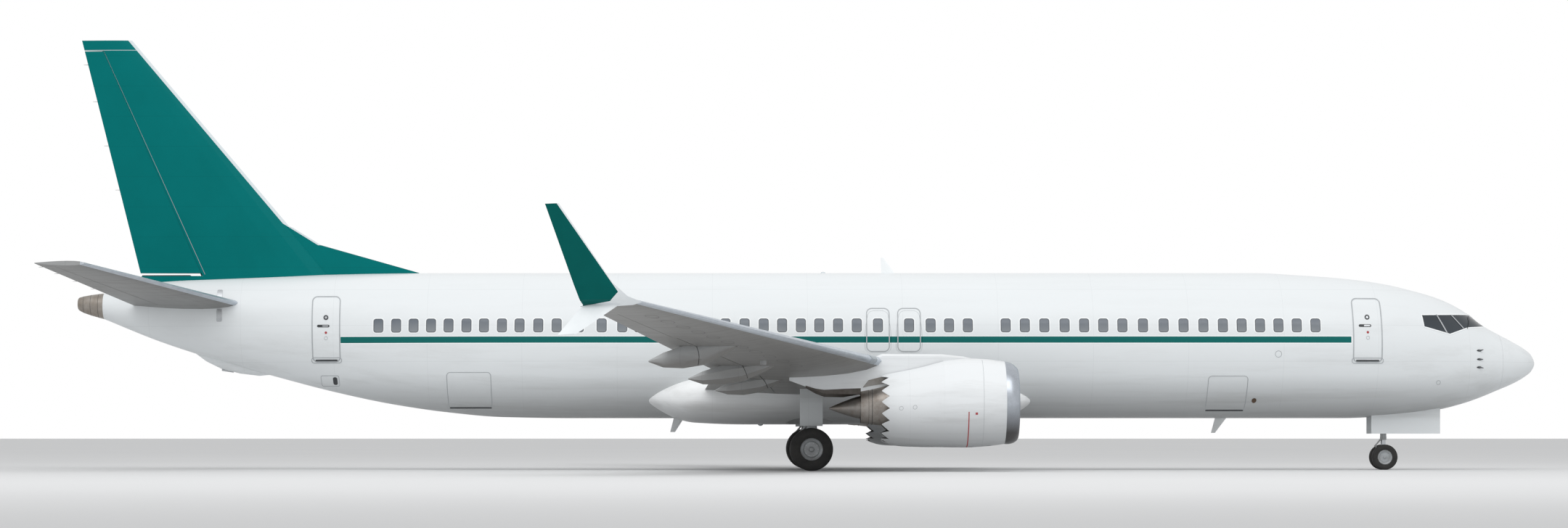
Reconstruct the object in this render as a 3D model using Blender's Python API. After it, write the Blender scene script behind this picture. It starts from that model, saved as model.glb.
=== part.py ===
# A twin-jet airliner standing on its landing gear. Metres: +X to the nose, +Y to port, +Z up, floor at z = 0.
import math

import bmesh
import bpy
from mathutils import Matrix, Vector

for old in list(bpy.data.objects):
    bpy.data.objects.remove(old)

# Driving dimensions. A station is a distance aft of the nose, a height is above the fuselage keel.
LENGTH = 39.52
NOSE_X = LENGTH / 2
KEEL_Z = 1.40
GAP = 0.0003
SEAM = 0.004
ROUND_STEPS = 32

ENGINE_Y = 4.83
ENGINE_H = 0.378
NOSE_GEAR_S = 4.09
MAIN_GEAR_S = 19.69
MAIN_GEAR_Y = 2.86
NOSE_TYRE_R = 0.343
MAIN_TYRE_R = 0.565
SIDES = ((1, "left"), (-1, "right"))
AFT = Vector((-1, 0, 0))


def at(s, y, h):
    return Vector((NOSE_X - s, y, KEEL_Z + h))


# Colours and finishes
def finish(name, colour, roughness, metallic=0.0):
    material = bpy.data.materials.new(name)
    material.use_nodes = True
    shader = material.node_tree.nodes["Principled BSDF"]
    shader.inputs["Base Color"].default_value = (*colour, 1.0)
    shader.inputs["Roughness"].default_value = roughness
    shader.inputs["Metallic"].default_value = metallic
    return material


WHITE = finish("white_paint", (0.86, 0.88, 0.90), 0.25)
TEAL = finish("teal_paint", (0.0, 0.17, 0.16), 0.25)
WING_GREY = finish("wing_grey_paint", (0.36, 0.37, 0.38), 0.4)
POLISHED = finish("polished_aluminium", (0.72, 0.74, 0.78), 0.15, 1.0)
HOT_METAL = finish("hot_section_metal", (0.36, 0.30, 0.25), 0.4, 1.0)
TITANIUM = finish("titanium_blades", (0.25, 0.26, 0.28), 0.3, 1.0)
GEAR_PAINT = finish("gear_paint", (0.62, 0.64, 0.66), 0.4)
TYRE = finish("tyre_rubber", (0.02, 0.02, 0.02), 0.8)
GLASS = finish("dark_glass", (0.02, 0.025, 0.03), 0.05)


# Making and joining solids
def solid(name, points, faces, material=None):
    mesh = bpy.data.meshes.new(name)
    mesh.from_pydata([tuple(p) for p in points], [], faces)
    work = bmesh.new()
    work.from_mesh(mesh)
    bmesh.ops.recalc_face_normals(work, faces=work.faces)
    work.to_mesh(mesh)
    work.free()
    mesh.shade_smooth()
    mesh.set_sharp_from_angle(angle=math.radians(35))
    made = bpy.data.objects.new(name, mesh)
    bpy.context.scene.collection.objects.link(made)
    if material:
        mesh.materials.append(material)
    return made


def ring_loft(name, rings, material=None, closed=False):
    """Skins rings that have equal counts of points, with flat ends, or round on itself when closed."""
    count = len(rings[0])
    points = [p for ring in rings for p in ring]
    pairs = [(i, (i + 1) % len(rings)) for i in range(len(rings) - (0 if closed else 1))]
    faces = []
    for a, b in pairs:
        for k in range(count):
            n = (k + 1) % count
            faces.append((a * count + k, a * count + n, b * count + n))
            faces.append((a * count + k, b * count + n, b * count + k))
    if not closed:
        faces.append(tuple(range(count)))
        faces.append(tuple(range((len(rings) - 1) * count, len(rings) * count)))
    return solid(name, points, faces, material)


def helper(made):
    made.hide_render = True
    made.display_type = "WIRE"
    return made


def combine(target, tool, operation):
    step = target.modifiers.new(f"{operation.lower()} {tool.name}", "BOOLEAN")
    step.operation = operation
    step.solver = "EXACT"
    step.object = tool


def cut(target, *tools):
    for tool in tools:
        combine(target, helper(tool), "DIFFERENCE")


def fuse(target, *tools):
    for tool in tools:
        combine(target, helper(tool), "UNION")


def set_origin(made, point):
    made.data.transform(Matrix.Translation(-point))
    made.location = point


def box(name, low, high, material=None):
    corners = [Vector((x, y, z)) for x in (low.x, high.x) for y in (low.y, high.y) for z in (low.z, high.z)]
    faces = [(0, 1, 3, 2), (4, 6, 7, 5), (0, 4, 5, 1), (2, 3, 7, 6), (0, 2, 6, 4), (1, 5, 7, 3)]
    return solid(name, corners, faces, material)


def rod(name, start, end, r_start, r_end=None, steps=16, material=None):
    """A straight round bar between two points."""
    r_end = r_start if r_end is None else r_end
    along = (end - start).normalized()
    across = along.orthogonal().normalized()
    other = along.cross(across)
    rings = []
    for centre, r in ((start, r_start), (end, r_end)):
        turn = [2 * math.pi * (k + 0.5) / steps for k in range(steps)]
        rings.append([centre + r * (across * math.cos(a) + other * math.sin(a)) for a in turn])
    return ring_loft(name, rings, material)


def turned(name, profile, centre, axis, steps, material=None, closed=False, tooth=0.0, phase=0.5):
    """Turns rows of distance along the axis, radius and drop of the centre; a tooth staggers the last row."""
    rings = []
    across = Vector((0, 0, 1)) if axis.z == 0 else Vector((1, 0, 0))
    other = axis.cross(across)
    far = max(row[0] for row in profile)
    for along, r, drop in profile:
        ring = []
        for k in range(steps):
            a = 2 * math.pi * (k + phase) / steps
            reach = along - (tooth if along == far and k % 2 else 0.0)
            out = across * math.cos(a) + other * math.sin(a)
            ring.append(centre + axis * reach - Vector((0, 0, drop)) + r * out)
        rings.append(ring)
    return ring_loft(name, rings, material, closed)


# Fuselage: station, crown height, keel height, half width, height of the widest line
FUSELAGE = (
    (0.00, 1.53, 1.43, 0.05, 1.48),
    (0.06, 1.68, 1.30, 0.20, 1.48),
    (0.25, 1.86, 1.13, 0.42, 1.48),
    (0.60, 2.07, 0.93, 0.67, 1.49),
    (1.02, 2.29, 0.75, 0.90, 1.50),
    (1.50, 2.56, 0.55, 1.11, 1.54),
    (1.90, 2.88, 0.41, 1.25, 1.60),
    (2.60, 3.24, 0.23, 1.45, 1.72),
    (3.40, 3.48, 0.11, 1.62, 1.83),
    (4.20, 3.66, 0.04, 1.74, 1.92),
    (5.20, 3.79, 0.0, 1.82, 2.00),
    (6.40, 3.88, 0.0, 1.87, 2.05),
    (7.60, 3.94, 0.0, 1.88, 2.06),
    (26.0, 3.94, 0.0, 1.88, 2.06),
    (28.0, 3.94, 0.03, 1.83, 2.10),
    (29.5, 3.94, 0.16, 1.73, 2.18),
    (31.0, 3.93, 0.38, 1.57, 2.29),
    (32.6, 3.90, 0.72, 1.36, 2.44),
    (34.2, 3.85, 1.14, 1.10, 2.60),
    (35.7, 3.79, 1.56, 0.85, 2.76),
    (37.3, 3.70, 2.08, 0.58, 2.94),
    (38.81, 3.39, 2.69, 0.35, 3.04),
)
RADOME_END = 1.02


def hull_row(station):
    for front, back in zip(FUSELAGE, FUSELAGE[1:]):
        if front[0] <= station <= back[0]:
            part = (station - front[0]) / (back[0] - front[0])
            return [a + part * (b - a) for a, b in zip(front, back)]
    raise ValueError(station)


def hull_ring(row, grow):
    """One cross-section: two half ellipses that meet at the widest line."""
    station, crown, keel, half_width, widest = row
    ring = []
    for k in range(ROUND_STEPS):
        a = 2 * math.pi * k / ROUND_STEPS
        rise = (crown - widest if math.cos(a) > 0 else widest - keel) + grow
        ring.append(at(station, (half_width + grow) * math.sin(a), widest + rise * math.cos(a)))
    return ring


def hull(name, first, last, grow=0.0, material=None):
    rows = [row for row in FUSELAGE if first < row[0] < last]
    rows = [hull_row(first)] + rows + [hull_row(last)]
    return ring_loft(name, [hull_ring(row, grow) for row in rows], material)


fuselage = hull("fuselage", RADOME_END + GAP, FUSELAGE[-1][0], material=WHITE)
hull_blank = helper(hull("hull_blank", 0.6, FUSELAGE[-1][0]))
hull_grown = helper(hull("hull_grown", 0.6, FUSELAGE[-1][0], GAP))
radome = hull("radome", 0.0, RADOME_END, material=WHITE)

# Tail cone with the auxiliary exhaust: station, radius, height of the centre
TAIL_CONE = (
    (38.81 + GAP, 0.352, 3.04),
    (39.20, 0.27, 3.07),
    (39.52, 0.17, 3.10),
    (39.52, 0.13, 3.10),
    (39.15, 0.12, 3.07),
)
cone_rings = []
for station, r, h in TAIL_CONE:
    turn = [2 * math.pi * k / 20 for k in range(20)]
    cone_rings.append([at(station, r * math.sin(a), h + r * math.cos(a)) for a in turn])
tail_cone = ring_loft("tail_cone", cone_rings, POLISHED)


# Doors and glazing are plugs of the skin, each set in a pocket with a seam all round.
# Each row: the two stations, the two heights, and how far in from the skin the plug reaches.
FORWARD_DOOR = ((4.43, 5.20, 1.49, 3.20), 1.24)
AFT_DOOR = ((32.28, 33.03, 1.51, 3.26), 0.75)
CARGO_DOORS = (
    ("cargo_door_forward", (7.99, 9.05, 0.20, 1.12), 0.95),
    ("cargo_door_aft", (28.22, 29.41, 0.27, 1.22), 0.85),
)
OVERWING_EXITS = (("forward", (16.75, 17.36, 1.77, 2.93)), ("aft", (17.58, 18.19, 1.77, 2.93)))
DOOR_CORNER_R, CARGO_CORNER_R, EXIT_CORNER_R = 0.13, 0.10, 0.14
EXIT_INNER_Y = 1.60
EXIT_FLARE = 0.6
EXIT_HINGE_Y, EXIT_HINGE_H = 1.69, 2.885
NOMINAL_Y, PLUG_OUTER_Y = 1.80, 2.30


def rounded_outline(s0, s1, h0, h1, r, steps=3):
    corners = ((s1 - r, h1 - r, 0), (s0 + r, h1 - r, 90), (s0 + r, h0 + r, 180), (s1 - r, h0 + r, 270))
    outline = []
    for s, h, start in corners:
        for k in range(steps + 1):
            a = math.radians(start + 90 * k / steps)
            outline.append((s + r * math.cos(a), h + r * math.sin(a)))
    return outline


def plug(name, sizes, radius, side, y_inner, flare):
    """A prism across the skin, whose sides open outwards by the flare; the sizes hold at NOMINAL_Y."""
    rings = []
    for y in (y_inner, PLUG_OUTER_Y):
        grow = flare * (y - NOMINAL_Y)
        s0, s1, h0, h1 = sizes
        outline = rounded_outline(s0 - grow, s1 + grow, h0 - grow, h1 + grow, radius)
        rings.append([at(s, side * y, h) for s, h in outline])
    return ring_loft(name, rings)


def skin_panel(name, sizes, radius, side, y_inner, material, flare=0.0):
    """Cuts one flush panel out of the hull and leaves its pocket in the fuselage."""
    s0, s1, h0, h1 = sizes
    panel = plug(name, (s0 + SEAM, s1 - SEAM, h0 + SEAM, h1 - SEAM), radius, side, y_inner, flare)
    panel.data.materials.append(material)
    combine(panel, hull_blank, "INTERSECT")
    cut(fuselage, plug(f"{name}_pocket", sizes, radius, side, y_inner - GAP, flare))
    return panel


for side, tag in SIDES:
    for where, (sizes, y_inner) in (("forward", FORWARD_DOOR), ("aft", AFT_DOOR)):
        skin_panel(f"door_{where}_{tag}", sizes, DOOR_CORNER_R, side, y_inner, WHITE)
    for where, sizes in OVERWING_EXITS:
        name = f"overwing_exit_{where}_{tag}"
        exit_panel = skin_panel(name, sizes, EXIT_CORNER_R, side, EXIT_INNER_Y, WHITE, EXIT_FLARE)
        set_origin(exit_panel, at((sizes[0] + sizes[1]) / 2, side * EXIT_HINGE_Y, EXIT_HINGE_H))
for name, sizes, y_inner in CARGO_DOORS:
    skin_panel(name, sizes, CARGO_CORNER_R, -1, y_inner, WHITE)

# Flight deck glazing: a band of glass round the nose, seen from the side as this outline
GLAZING = ((3.30, 2.77), (1.78, 2.80), (1.40, 2.46), (2.00, 2.42), (2.54, 2.24), (3.26, 2.44))
GLAZING_DEPTH = 0.06


def inset_outline(outline, inset):
    """Moves every side of a convex outline inwards."""
    mid = Vector((sum(s for s, h in outline), sum(h for s, h in outline))) / len(outline)
    moved = []
    for index, point in enumerate(outline):
        here = Vector(point)
        sides = []
        for other in (Vector(outline[index - 1]), Vector(outline[(index + 1) % len(outline)])):
            along = (other - here).normalized()
            normal = Vector((-along.y, along.x))
            sides.append(normal if normal.dot(mid - here) > 0 else -normal)
        corner = sides[0] + sides[1]
        moved.append(tuple(here + corner * inset / (0.5 * corner.length_squared)))
    return moved


def across_hull(name, outline, material=None):
    return ring_loft(name, [[at(s, y, h) for s, h in outline] for y in (-2.0, 2.0)], material)


glazing = across_hull("flight_deck_glazing", inset_outline(GLAZING, GAP), GLASS)
combine(glazing, hull_blank, "INTERSECT")
cut(glazing, hull("glazing_core", 0.6, 6.0, -GLAZING_DEPTH))
cut(fuselage, across_hull("glazing_slot", GLAZING))

# Blades: wing, stabiliser and fin.
# Rows: span position, leading and trailing station, their offsets, thickness as a share of the chord
WING = (
    (1.20, 14.90, 22.55, 1.12, 0.68, 0.125),
    (4.20, 17.53, 22.30, 1.39, 1.02, 0.125),
    (5.70, 18.26, 22.20, 1.52, 1.19, 0.120),
    (17.15, 23.82, 25.15, 2.54, 2.47, 0.100),
)
STABILISER = ((0.20, 34.74, 37.88, 3.02, 3.02, 0.10), (7.175, 38.11, 39.37, 3.88, 3.88, 0.09))
FIN = ((3.50, 32.35, 37.72, 0.0, 0.0, 0.090), (10.26, 38.06, 39.42, 0.0, 0.0, 0.085))
CHORD_SHARES = (1.0, 0.86, 0.70, 0.52, 0.35, 0.20, 0.09, 0.02)
EDGE = 0.008


def blade_row(rows, u):
    for inner, outer in zip(rows, rows[1:]):
        if inner[0] <= u <= outer[0]:
            part = (u - inner[0]) / (outer[0] - inner[0])
            return [a + part * (b - a) for a, b in zip(inner, outer)]
    raise ValueError(u)


def blade_section(row, share):
    """Station, offset of the mean line, and half thickness at a share of the chord."""
    u, s_front, s_back, w_front, w_back, thick = row
    chord = s_back - s_front
    x = share
    curve = 0.2969 * math.sqrt(x) - 0.126 * x - 0.3516 * x**2 + 0.2843 * x**3 - 0.1036 * x**4
    half = 5 * thick * chord * curve
    return s_front + chord * x, w_front + (w_back - w_front) * x, max(half, 0.0) + EDGE * x


def on_wing(side):
    return lambda s, u, w: at(s, side * u, w)


def on_fin(s, u, w):
    return at(s, w, u)


def blade_ring(row, place):
    upper = [blade_section(row, x) for x in CHORD_SHARES]
    nose = blade_section(row, 0.0)
    ring = [place(s, row[0], w + half) for s, w, half in upper]
    ring.append(place(nose[0], row[0], nose[1]))
    ring += [place(s, row[0], w - half) for s, w, half in reversed(upper)]
    return ring


def blade(name, rows, place, material=None):
    return ring_loft(name, [blade_ring(row, place) for row in rows], material)


# A hinged surface has a round nose that fills NOSE_FILL of the thickness, HINGE_GAP clear of its cove
NOSE_FILL = 0.96
HINGE_ARC_STEPS = 8
HINGE_GAP = 0.012
LIP_CLEARANCE = 2.2
PIN_R = 0.02
PIN_LENGTH = 0.08


def hinge_line(rows, place, share, span):
    """The hinge points at both ends of a span, and the directions along, aft and out of the hinge line."""
    ends = []
    for u in span:
        s, w, half = blade_section(blade_row(rows, u), share)
        ends.append(place(s, u, w))
    along = (ends[1] - ends[0]).normalized()
    aft = (AFT - along * AFT.dot(along)).normalized()
    return ends, along, aft, along.cross(aft)


def hinge_prism(name, rows, place, share, span, radial_gap, end_gaps, level_ends):
    """A hinged surface's outline: a round nose about the hinge and a tall slab aft of it."""
    ends, along, aft, rise = hinge_line(rows, place, share, span)
    normal = Vector((0, 0, 1)) if level_ends else along
    rings = []
    for u, end, shift in zip(span, ends, (end_gaps[0], -end_gaps[1])):
        half = blade_section(blade_row(rows, u), share)[2]
        r = half * NOSE_FILL + radial_gap
        tall, far = 3 * half, 4 * half + 2.0
        lip = LIP_CLEARANCE * radial_gap
        first = math.asin(lip / r)
        row = [(-lip, tall), (far, tall), (far, -tall), (-lip, -tall)]
        for k in range(HINGE_ARC_STEPS + 1):
            a = first + (math.pi - 2 * first) * k / HINGE_ARC_STEPS
            row.append((-r * math.sin(a), -r * math.cos(a)))
        ring = []
        for da, dw in row:
            offset = aft * da + rise * dw
            ring.append(end + offset + along * ((shift - offset.dot(normal)) / along.dot(normal)))
        rings.append(ring)
    return ring_loft(name, rings)


def control_surface(name, base, rows, place, share, span, material, end_gaps=(0.012,) * 2, level_ends=False):
    """Takes one hinged surface out of a base solid; a pin at each end reaches the cove's end wall."""
    wing, blank = base
    surface = hinge_prism(name, rows, place, share, span, 0.0, end_gaps, level_ends)
    surface.data.materials.append(material)
    combine(surface, blank, "INTERSECT")
    cut(wing, hinge_prism(f"{name}_cove", rows, place, share, span, HINGE_GAP, (0.0, 0.0), level_ends))
    ends, along, aft, rise = hinge_line(rows, place, share, span)
    lean = along.angle(Vector((0, 0, 1))) if level_ends else 0.0
    stand_off = GAP + PIN_R * math.tan(lean)
    for number, (end, inward, end_gap) in enumerate(zip(ends, (along, -along), end_gaps)):
        pin_end = end + inward * (end_gap + PIN_LENGTH)
        fuse(surface, rod(f"{name}_pin_{number}", end + inward * stand_off, pin_end, PIN_R, steps=12))
    set_origin(surface, (ends[0] + ends[1]) / 2)


# Wing-to-body fairing under the belly: station, half width, bottom height, top height
FAIRING_SQUARENESS = 2.6
FAIRING = (
    (13.60, 1.10, 0.35, 0.80),
    (14.40, 1.62, 0.02, 1.02),
    (15.40, 1.92, -0.12, 1.45),
    (16.60, 2.02, -0.16, 1.62),
    (19.00, 2.04, -0.17, 1.62),
    (21.40, 2.02, -0.17, 1.50),
    (22.80, 1.90, -0.12, 1.30),
    (24.08, 1.20, 0.30, 0.90),
)


def fairing_loft(name, grow=0.0, material=None):
    rings = []
    for station, half_width, bottom, top in FAIRING:
        mid = (bottom + top) / 2
        rise = (top - bottom) / 2 + grow
        ring = []
        for k in range(ROUND_STEPS):
            a = 2 * math.pi * (k + 0.5) / ROUND_STEPS
            c, q = math.cos(a), math.sin(a)
            flat = (abs(c) ** FAIRING_SQUARENESS + abs(q) ** FAIRING_SQUARENESS) ** (-1 / FAIRING_SQUARENESS)
            ring.append(at(station, (half_width + grow) * flat * q, mid + rise * flat * c))
        rings.append(ring)
    return ring_loft(name, rings, material)


WELL_Y, WELL_R, WELL_TOP = 0.86, 0.62, 0.42
belly_fairing = fairing_loft("belly_fairing", material=WHITE)
fairing_grown = helper(fairing_loft("fairing_grown", GAP))
cut(belly_fairing, hull_grown)
for side, tag in SIDES:
    well = rod(
        f"main_wheel_well_{tag}",
        at(MAIN_GEAR_S, side * WELL_Y, -1.0),
        at(MAIN_GEAR_S, side * WELL_Y, WELL_TOP),
        WELL_R,
        steps=24,
    )
    cut(belly_fairing, well)
    cut(fuselage, well)

# Nose gear bay
BAY_FRONT, BAY_BACK, BAY_HALF, BAY_TOP = 2.60, 4.50, 0.36, 0.78
bay = box("nose_gear_bay", at(BAY_BACK, -BAY_HALF, -0.5), at(BAY_FRONT, BAY_HALF, BAY_TOP))
cut(fuselage, bay)

# Wings with their flap tracks, flaps and ailerons
FLAPS = (("inboard", (2.40, 5.20)), ("outboard", (5.85, 11.92)))
AILERON_SHARE, AILERON_SPAN = 0.75, (12.15, 15.90)
FLAP_SHARE = 0.72
FLAP_DROP = 1.25
FLAP_NOSE_FILL = 0.97
FLAP_NOSE_LOW, FLAP_NOSE_CREST = -1.45, 0.22
FLAP_ARC_STEPS = 8
FLAP_END_GAP = 0.015
RUNNER_ANGLE = math.radians(62)
RUNNER_R_SHARE, RUNNER_LENGTH = 0.88, 0.05
# Flap tracks: span position, first and last station, half width, depth below the wing's mean line
TRACKS = (
    (4.30, 20.10, 22.21, 0.20, 0.53),
    (6.90, 20.40, 22.89, 0.18, 0.57),
    (10.50, 21.40, 23.82, 0.15, 0.62),
)
# A canoe's shape: share of its length, of its half width, and its top and bottom as shares of its depth
CANOE_ROWS = (
    (0.00, 0.05, 0.00, -0.05),
    (0.20, 0.70, 0.00, -0.52),
    (0.45, 1.00, 0.00, -0.93),
    (0.65, 1.00, -0.05, -1.00),
    (0.85, 0.75, -0.27, -0.90),
    (1.00, 0.08, -0.60, -0.66),
)
CANOE_STEPS = 8
JACK_PAD_Y, JACK_PAD_S, JACK_PAD_R = 7.9, 21.0, 0.08
JACK_PAD_LOW, JACK_PAD_HIGH = 1.30, 1.55


def track_canoe(name, u, s_front, s_back, half_width, depth, place):
    """A canoe-shaped fairing hung under the wing."""
    row = blade_row(WING, u)
    rings = []
    for share, wide, top, bottom in CANOE_ROWS:
        s = s_front + share * (s_back - s_front)
        x = min((s - row[1]) / (row[2] - row[1]), 1.0)
        w = blade_section(row, x)[1]
        ring = []
        for k in range(CANOE_STEPS):
            a = 2 * math.pi * (k + 0.5) / CANOE_STEPS
            rise = depth * ((top + bottom) / 2 + (top - bottom) / 2 * math.cos(a))
            ring.append(place(s, u + half_width * wide * math.sin(a), w + rise))
        rings.append(ring)
    return ring_loft(name, rings)


def flap_pivot(u):
    """Station and height of the dropped pivot, the wing's thickness at the flap's nose, and the drop."""
    row = blade_row(WING, u)
    s, w, half = blade_section(row, FLAP_SHARE)
    thick = 2 * half
    drop = FLAP_DROP * thick
    reach = math.sqrt((drop + thick) ** 2 - drop**2)
    return s + reach, w - half - drop, thick, drop


def flap_axis(span, place):
    """The pivot points at both ends, and the directions along the axis, aft and up from it."""
    ends = []
    for u in span:
        s, w, thick, drop = flap_pivot(u)
        ends.append(place(s, u, w))
    along = (ends[1] - ends[0]).normalized()
    aft = (AFT - along * AFT.dot(along)).normalized()
    up = Vector((0, 0, 1))
    up = (up - along * up.dot(along) - aft * up.dot(aft)).normalized()
    return ends, along, aft, up


def flap_prism(name, span, place, grow, end_gap):
    """The flap's outline, square to its pivot axis: an arc about the pivot, then a tall slab aft."""
    ends, along, aft, up = flap_axis(span, place)
    rings = []
    for u, end, inward in zip(span, ends, (along, -along)):
        s, w, thick, drop = flap_pivot(u)
        r = drop + FLAP_NOSE_FILL * thick + grow
        low = FLAP_NOSE_LOW * drop
        start, stop = math.asin(low / r), math.acos(FLAP_NOSE_CREST)
        row = []
        for k in range(FLAP_ARC_STEPS + 1):
            a = start + (stop - start) * k / FLAP_ARC_STEPS
            row.append((-r * math.cos(a), r * math.sin(a)))
        row += [(row[-1][0], 3 * r), (5 * r, 3 * r), (5 * r, low)]
        rings.append([end + inward * end_gap + aft * da + up * dw for da, dw in row])
    return ring_loft(name, rings)


def fuse_runners(flap, name, span, place, end_gap):
    """A short runner on each end of the flap's nose, carried by the end wall of its cove."""
    ends, along, aft, up = flap_axis(span, place)
    for number, (u, end, inward) in enumerate(zip(span, ends, (along, -along))):
        s, w, thick, drop = flap_pivot(u)
        r = RUNNER_R_SHARE * (drop + thick)
        centre = end + (up * math.sin(RUNNER_ANGLE) - aft * math.cos(RUNNER_ANGLE)) * r
        stop = centre + inward * (end_gap + RUNNER_LENGTH)
        fuse(flap, rod(f"{name}_runner_{number}", centre + inward * GAP, stop, PIN_R, steps=12))


for side, tag in SIDES:
    place = on_wing(side)
    wing = blade(f"wing_{tag}", WING, place, WING_GREY)
    wing_blank = helper(blade(f"wing_blank_{tag}", WING, place))
    for number, track in enumerate(TRACKS):
        canoe = track_canoe(f"track_{number}_{tag}", *track, place)
        fuse(wing_blank, canoe)
        fuse(wing, canoe)
    pad_high = at(JACK_PAD_S, side * JACK_PAD_Y, JACK_PAD_HIGH)
    pad_low = at(JACK_PAD_S, side * JACK_PAD_Y, JACK_PAD_LOW)
    fuse(wing, rod(f"jack_pad_{tag}", pad_high, pad_low, JACK_PAD_R))
    for where, span in FLAPS:
        flap = flap_prism(f"flap_{where}_{tag}", span, place, 0.0, FLAP_END_GAP)
        flap.data.materials.append(WING_GREY)
        combine(flap, wing_blank, "INTERSECT")
        fuse_runners(flap, f"flap_{where}_{tag}", span, place, FLAP_END_GAP)
        cut(wing, flap_prism(f"flap_{where}_cove_{tag}", span, place, FLAP_END_GAP, 0.0))
        set_origin(flap, flap_axis(span, place)[0][0])
    control_surface(f"aileron_{tag}", (wing, wing_blank), WING, place, AILERON_SHARE, AILERON_SPAN, WING_GREY)
    cut(wing, hull_grown, fairing_grown)

# Winglets: rows of span, leading and trailing station, height, half thickness, tilt outwards
WINGLET_UP = (
    (17.15 + GAP, 23.82, 25.15, 2.540, 2.470, 0.065, 0.0),
    (17.36, 24.14, 25.22, 2.66, 2.58, 0.045, 40.0),
    (17.50, 24.48, 25.34, 2.96, 2.90, 0.035, 72.0),
    (17.96, 25.66, 25.97, 4.71, 4.70, 0.010, 78.0),
)
WINGLET_DOWN = (
    (17.20, 24.30, 25.15, 2.50, 2.46, 0.030, -45.0),
    (17.70, 25.29, 25.70, 1.80, 1.78, 0.010, -60.0),
)


# Section of a winglet blade: share of the chord, share of the half thickness
WINGLET_SECTION = ((0.0, 0.0), (0.15, 0.9), (0.45, 1.0), (1.0, 0.08))


def winglet_loft(name, rows, side, material=None):
    rings = []
    for u, s_front, s_back, h_front, h_back, half, tilt in rows:
        out, up = -math.sin(math.radians(tilt)), math.cos(math.radians(tilt))
        ring = []
        for share, thick in WINGLET_SECTION:
            s, h = s_front + share * (s_back - s_front), h_front + share * (h_back - h_front)
            ring.append(at(s, side * (u + out * half * thick), h + up * half * thick))
        for share, thick in reversed(WINGLET_SECTION[1:]):
            s, h = s_front + share * (s_back - s_front), h_front + share * (h_back - h_front)
            ring.append(at(s, side * (u - out * half * thick), h - up * half * thick))
        rings.append(ring)
    return ring_loft(name, rings, material)


for side, tag in SIDES:
    winglet = winglet_loft(f"winglet_{tag}", WINGLET_UP, side, TEAL)
    fuse(winglet, winglet_loft(f"winglet_lower_{tag}", WINGLET_DOWN, side))

# Tail: fin with its dorsal fairing and rudder, stabilisers with their elevators
RUDDER_SHARE, RUDDER_SPAN, RUDDER_END_GAPS = 0.68, (3.86, 9.98), (0.075, 0.015)
ELEVATOR_SHARE, ELEVATOR_SPAN = 0.70, (1.10, 6.90)
# Dorsal fairing: station, bottom height, top height, half width
DORSAL = (
    (30.27, 3.80, 3.95, 0.02),
    (32.92, 3.60, 4.70, 0.09),
    (33.68, 3.50, 5.17, 0.12),
    (34.40, 3.50, 5.50, 0.12),
)
DORSAL_SHOULDER = 0.02
fin = blade("fin", FIN, on_fin, TEAL)
fin_blank = helper(blade("fin_blank", FIN, on_fin))
dorsal_rings = []
for s, bottom, top, half in DORSAL:
    shoulder = top - DORSAL_SHOULDER
    row = ((-half, bottom), (-half / 2, shoulder), (0, top), (half / 2, shoulder), (half, bottom))
    dorsal_rings.append([at(s, y, h) for y, h in row])
dorsal = ring_loft("dorsal", dorsal_rings)
fuse(fin, dorsal)
fin_base = (fin, fin_blank)
control_surface("rudder", fin_base, FIN, on_fin, RUDDER_SHARE, RUDDER_SPAN, TEAL, RUDDER_END_GAPS, True)
cut(fin, hull_grown)
for side, tag in SIDES:
    place = on_wing(side)
    stabiliser = blade(f"stabiliser_{tag}", STABILISER, place, WING_GREY)
    base = (stabiliser, helper(blade(f"stabiliser_blank_{tag}", STABILISER, place)))
    control_surface(f"elevator_{tag}", base, STABILISER, place, ELEVATOR_SHARE, ELEVATOR_SPAN, WING_GREY)
    cut(stabiliser, hull_grown)

# Engines: rows of station, radius, drop of the centre line
STEPS_NACELLE = 24
INLET_LIP = (
    (14.40, 0.890, 0.040),
    (14.44, 0.945, 0.036),
    (14.75, 1.068, 0.0),
    (14.75, 0.845, 0.0),
    (14.48, 0.850, 0.036),
)
FAN_COWL = (
    (14.75 + GAP, 1.070, 0.0),
    (15.20, 1.125, 0.0),
    (15.70, 1.153, 0.003),
    (16.33, 1.120, 0.031),
    (16.33, 0.930, 0.031),
    (15.85, 0.892, 0.0),
    (15.60, 0.892, 0.0),
    (14.75 + GAP, 0.850, 0.0),
)
SLEEVE_S = 16.33 + GAP
SLEEVE = (
    (SLEEVE_S, 1.119, 0.031),
    (17.00, 1.028, 0.115),
    (17.60, 0.950, 0.155),
    (17.96, 0.855, 0.130),
    (17.90, 0.835, 0.130),
    (17.30, 0.900, 0.100),
    (SLEEVE_S, 0.930, 0.031),
)
CHEVRON_DEPTH = 0.16
CORE = (
    (15.60 + GAP, 0.04, 0.0),
    (15.60 + GAP, 0.30, 0.0),
    (15.80, 0.50, 0.0),
    (16.60, 0.62, 0.01),
    (17.60, 0.56, 0.06),
    (18.26, 0.455, 0.10),
    (18.46, 0.432, 0.11),
    (18.46, 0.295, 0.12),
    (18.90, 0.165, 0.135),
    (19.27, 0.02, 0.147),
)
FAN_HUB = ((14.95, 0.01, 0.0), (15.02, 0.08, 0.0), (15.30, 0.24, 0.0), (15.60, 0.29, 0.0))
FAN_BLADES = 18
FAN_TIP_R, FAN_ROOT_R, FAN_S = 0.842, 0.20, 15.40
# Radius, half chord and angle of the chord from the axis, from root to tip
BLADE_SECTIONS = ((FAN_ROOT_R, 0.10, 30.0), (0.54, 0.13, 50.0), (FAN_TIP_R, 0.15, 62.0))
BLADE_HALF_THICK = 0.008
VANES = 8
VANE_S, VANE_ROOT_R, VANE_TIP_R = 15.73, 0.40, 0.892
VANE_HALF_CHORD, VANE_HALF_THICK = 0.09, 0.012
SLOT_HALF = 0.20


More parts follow.
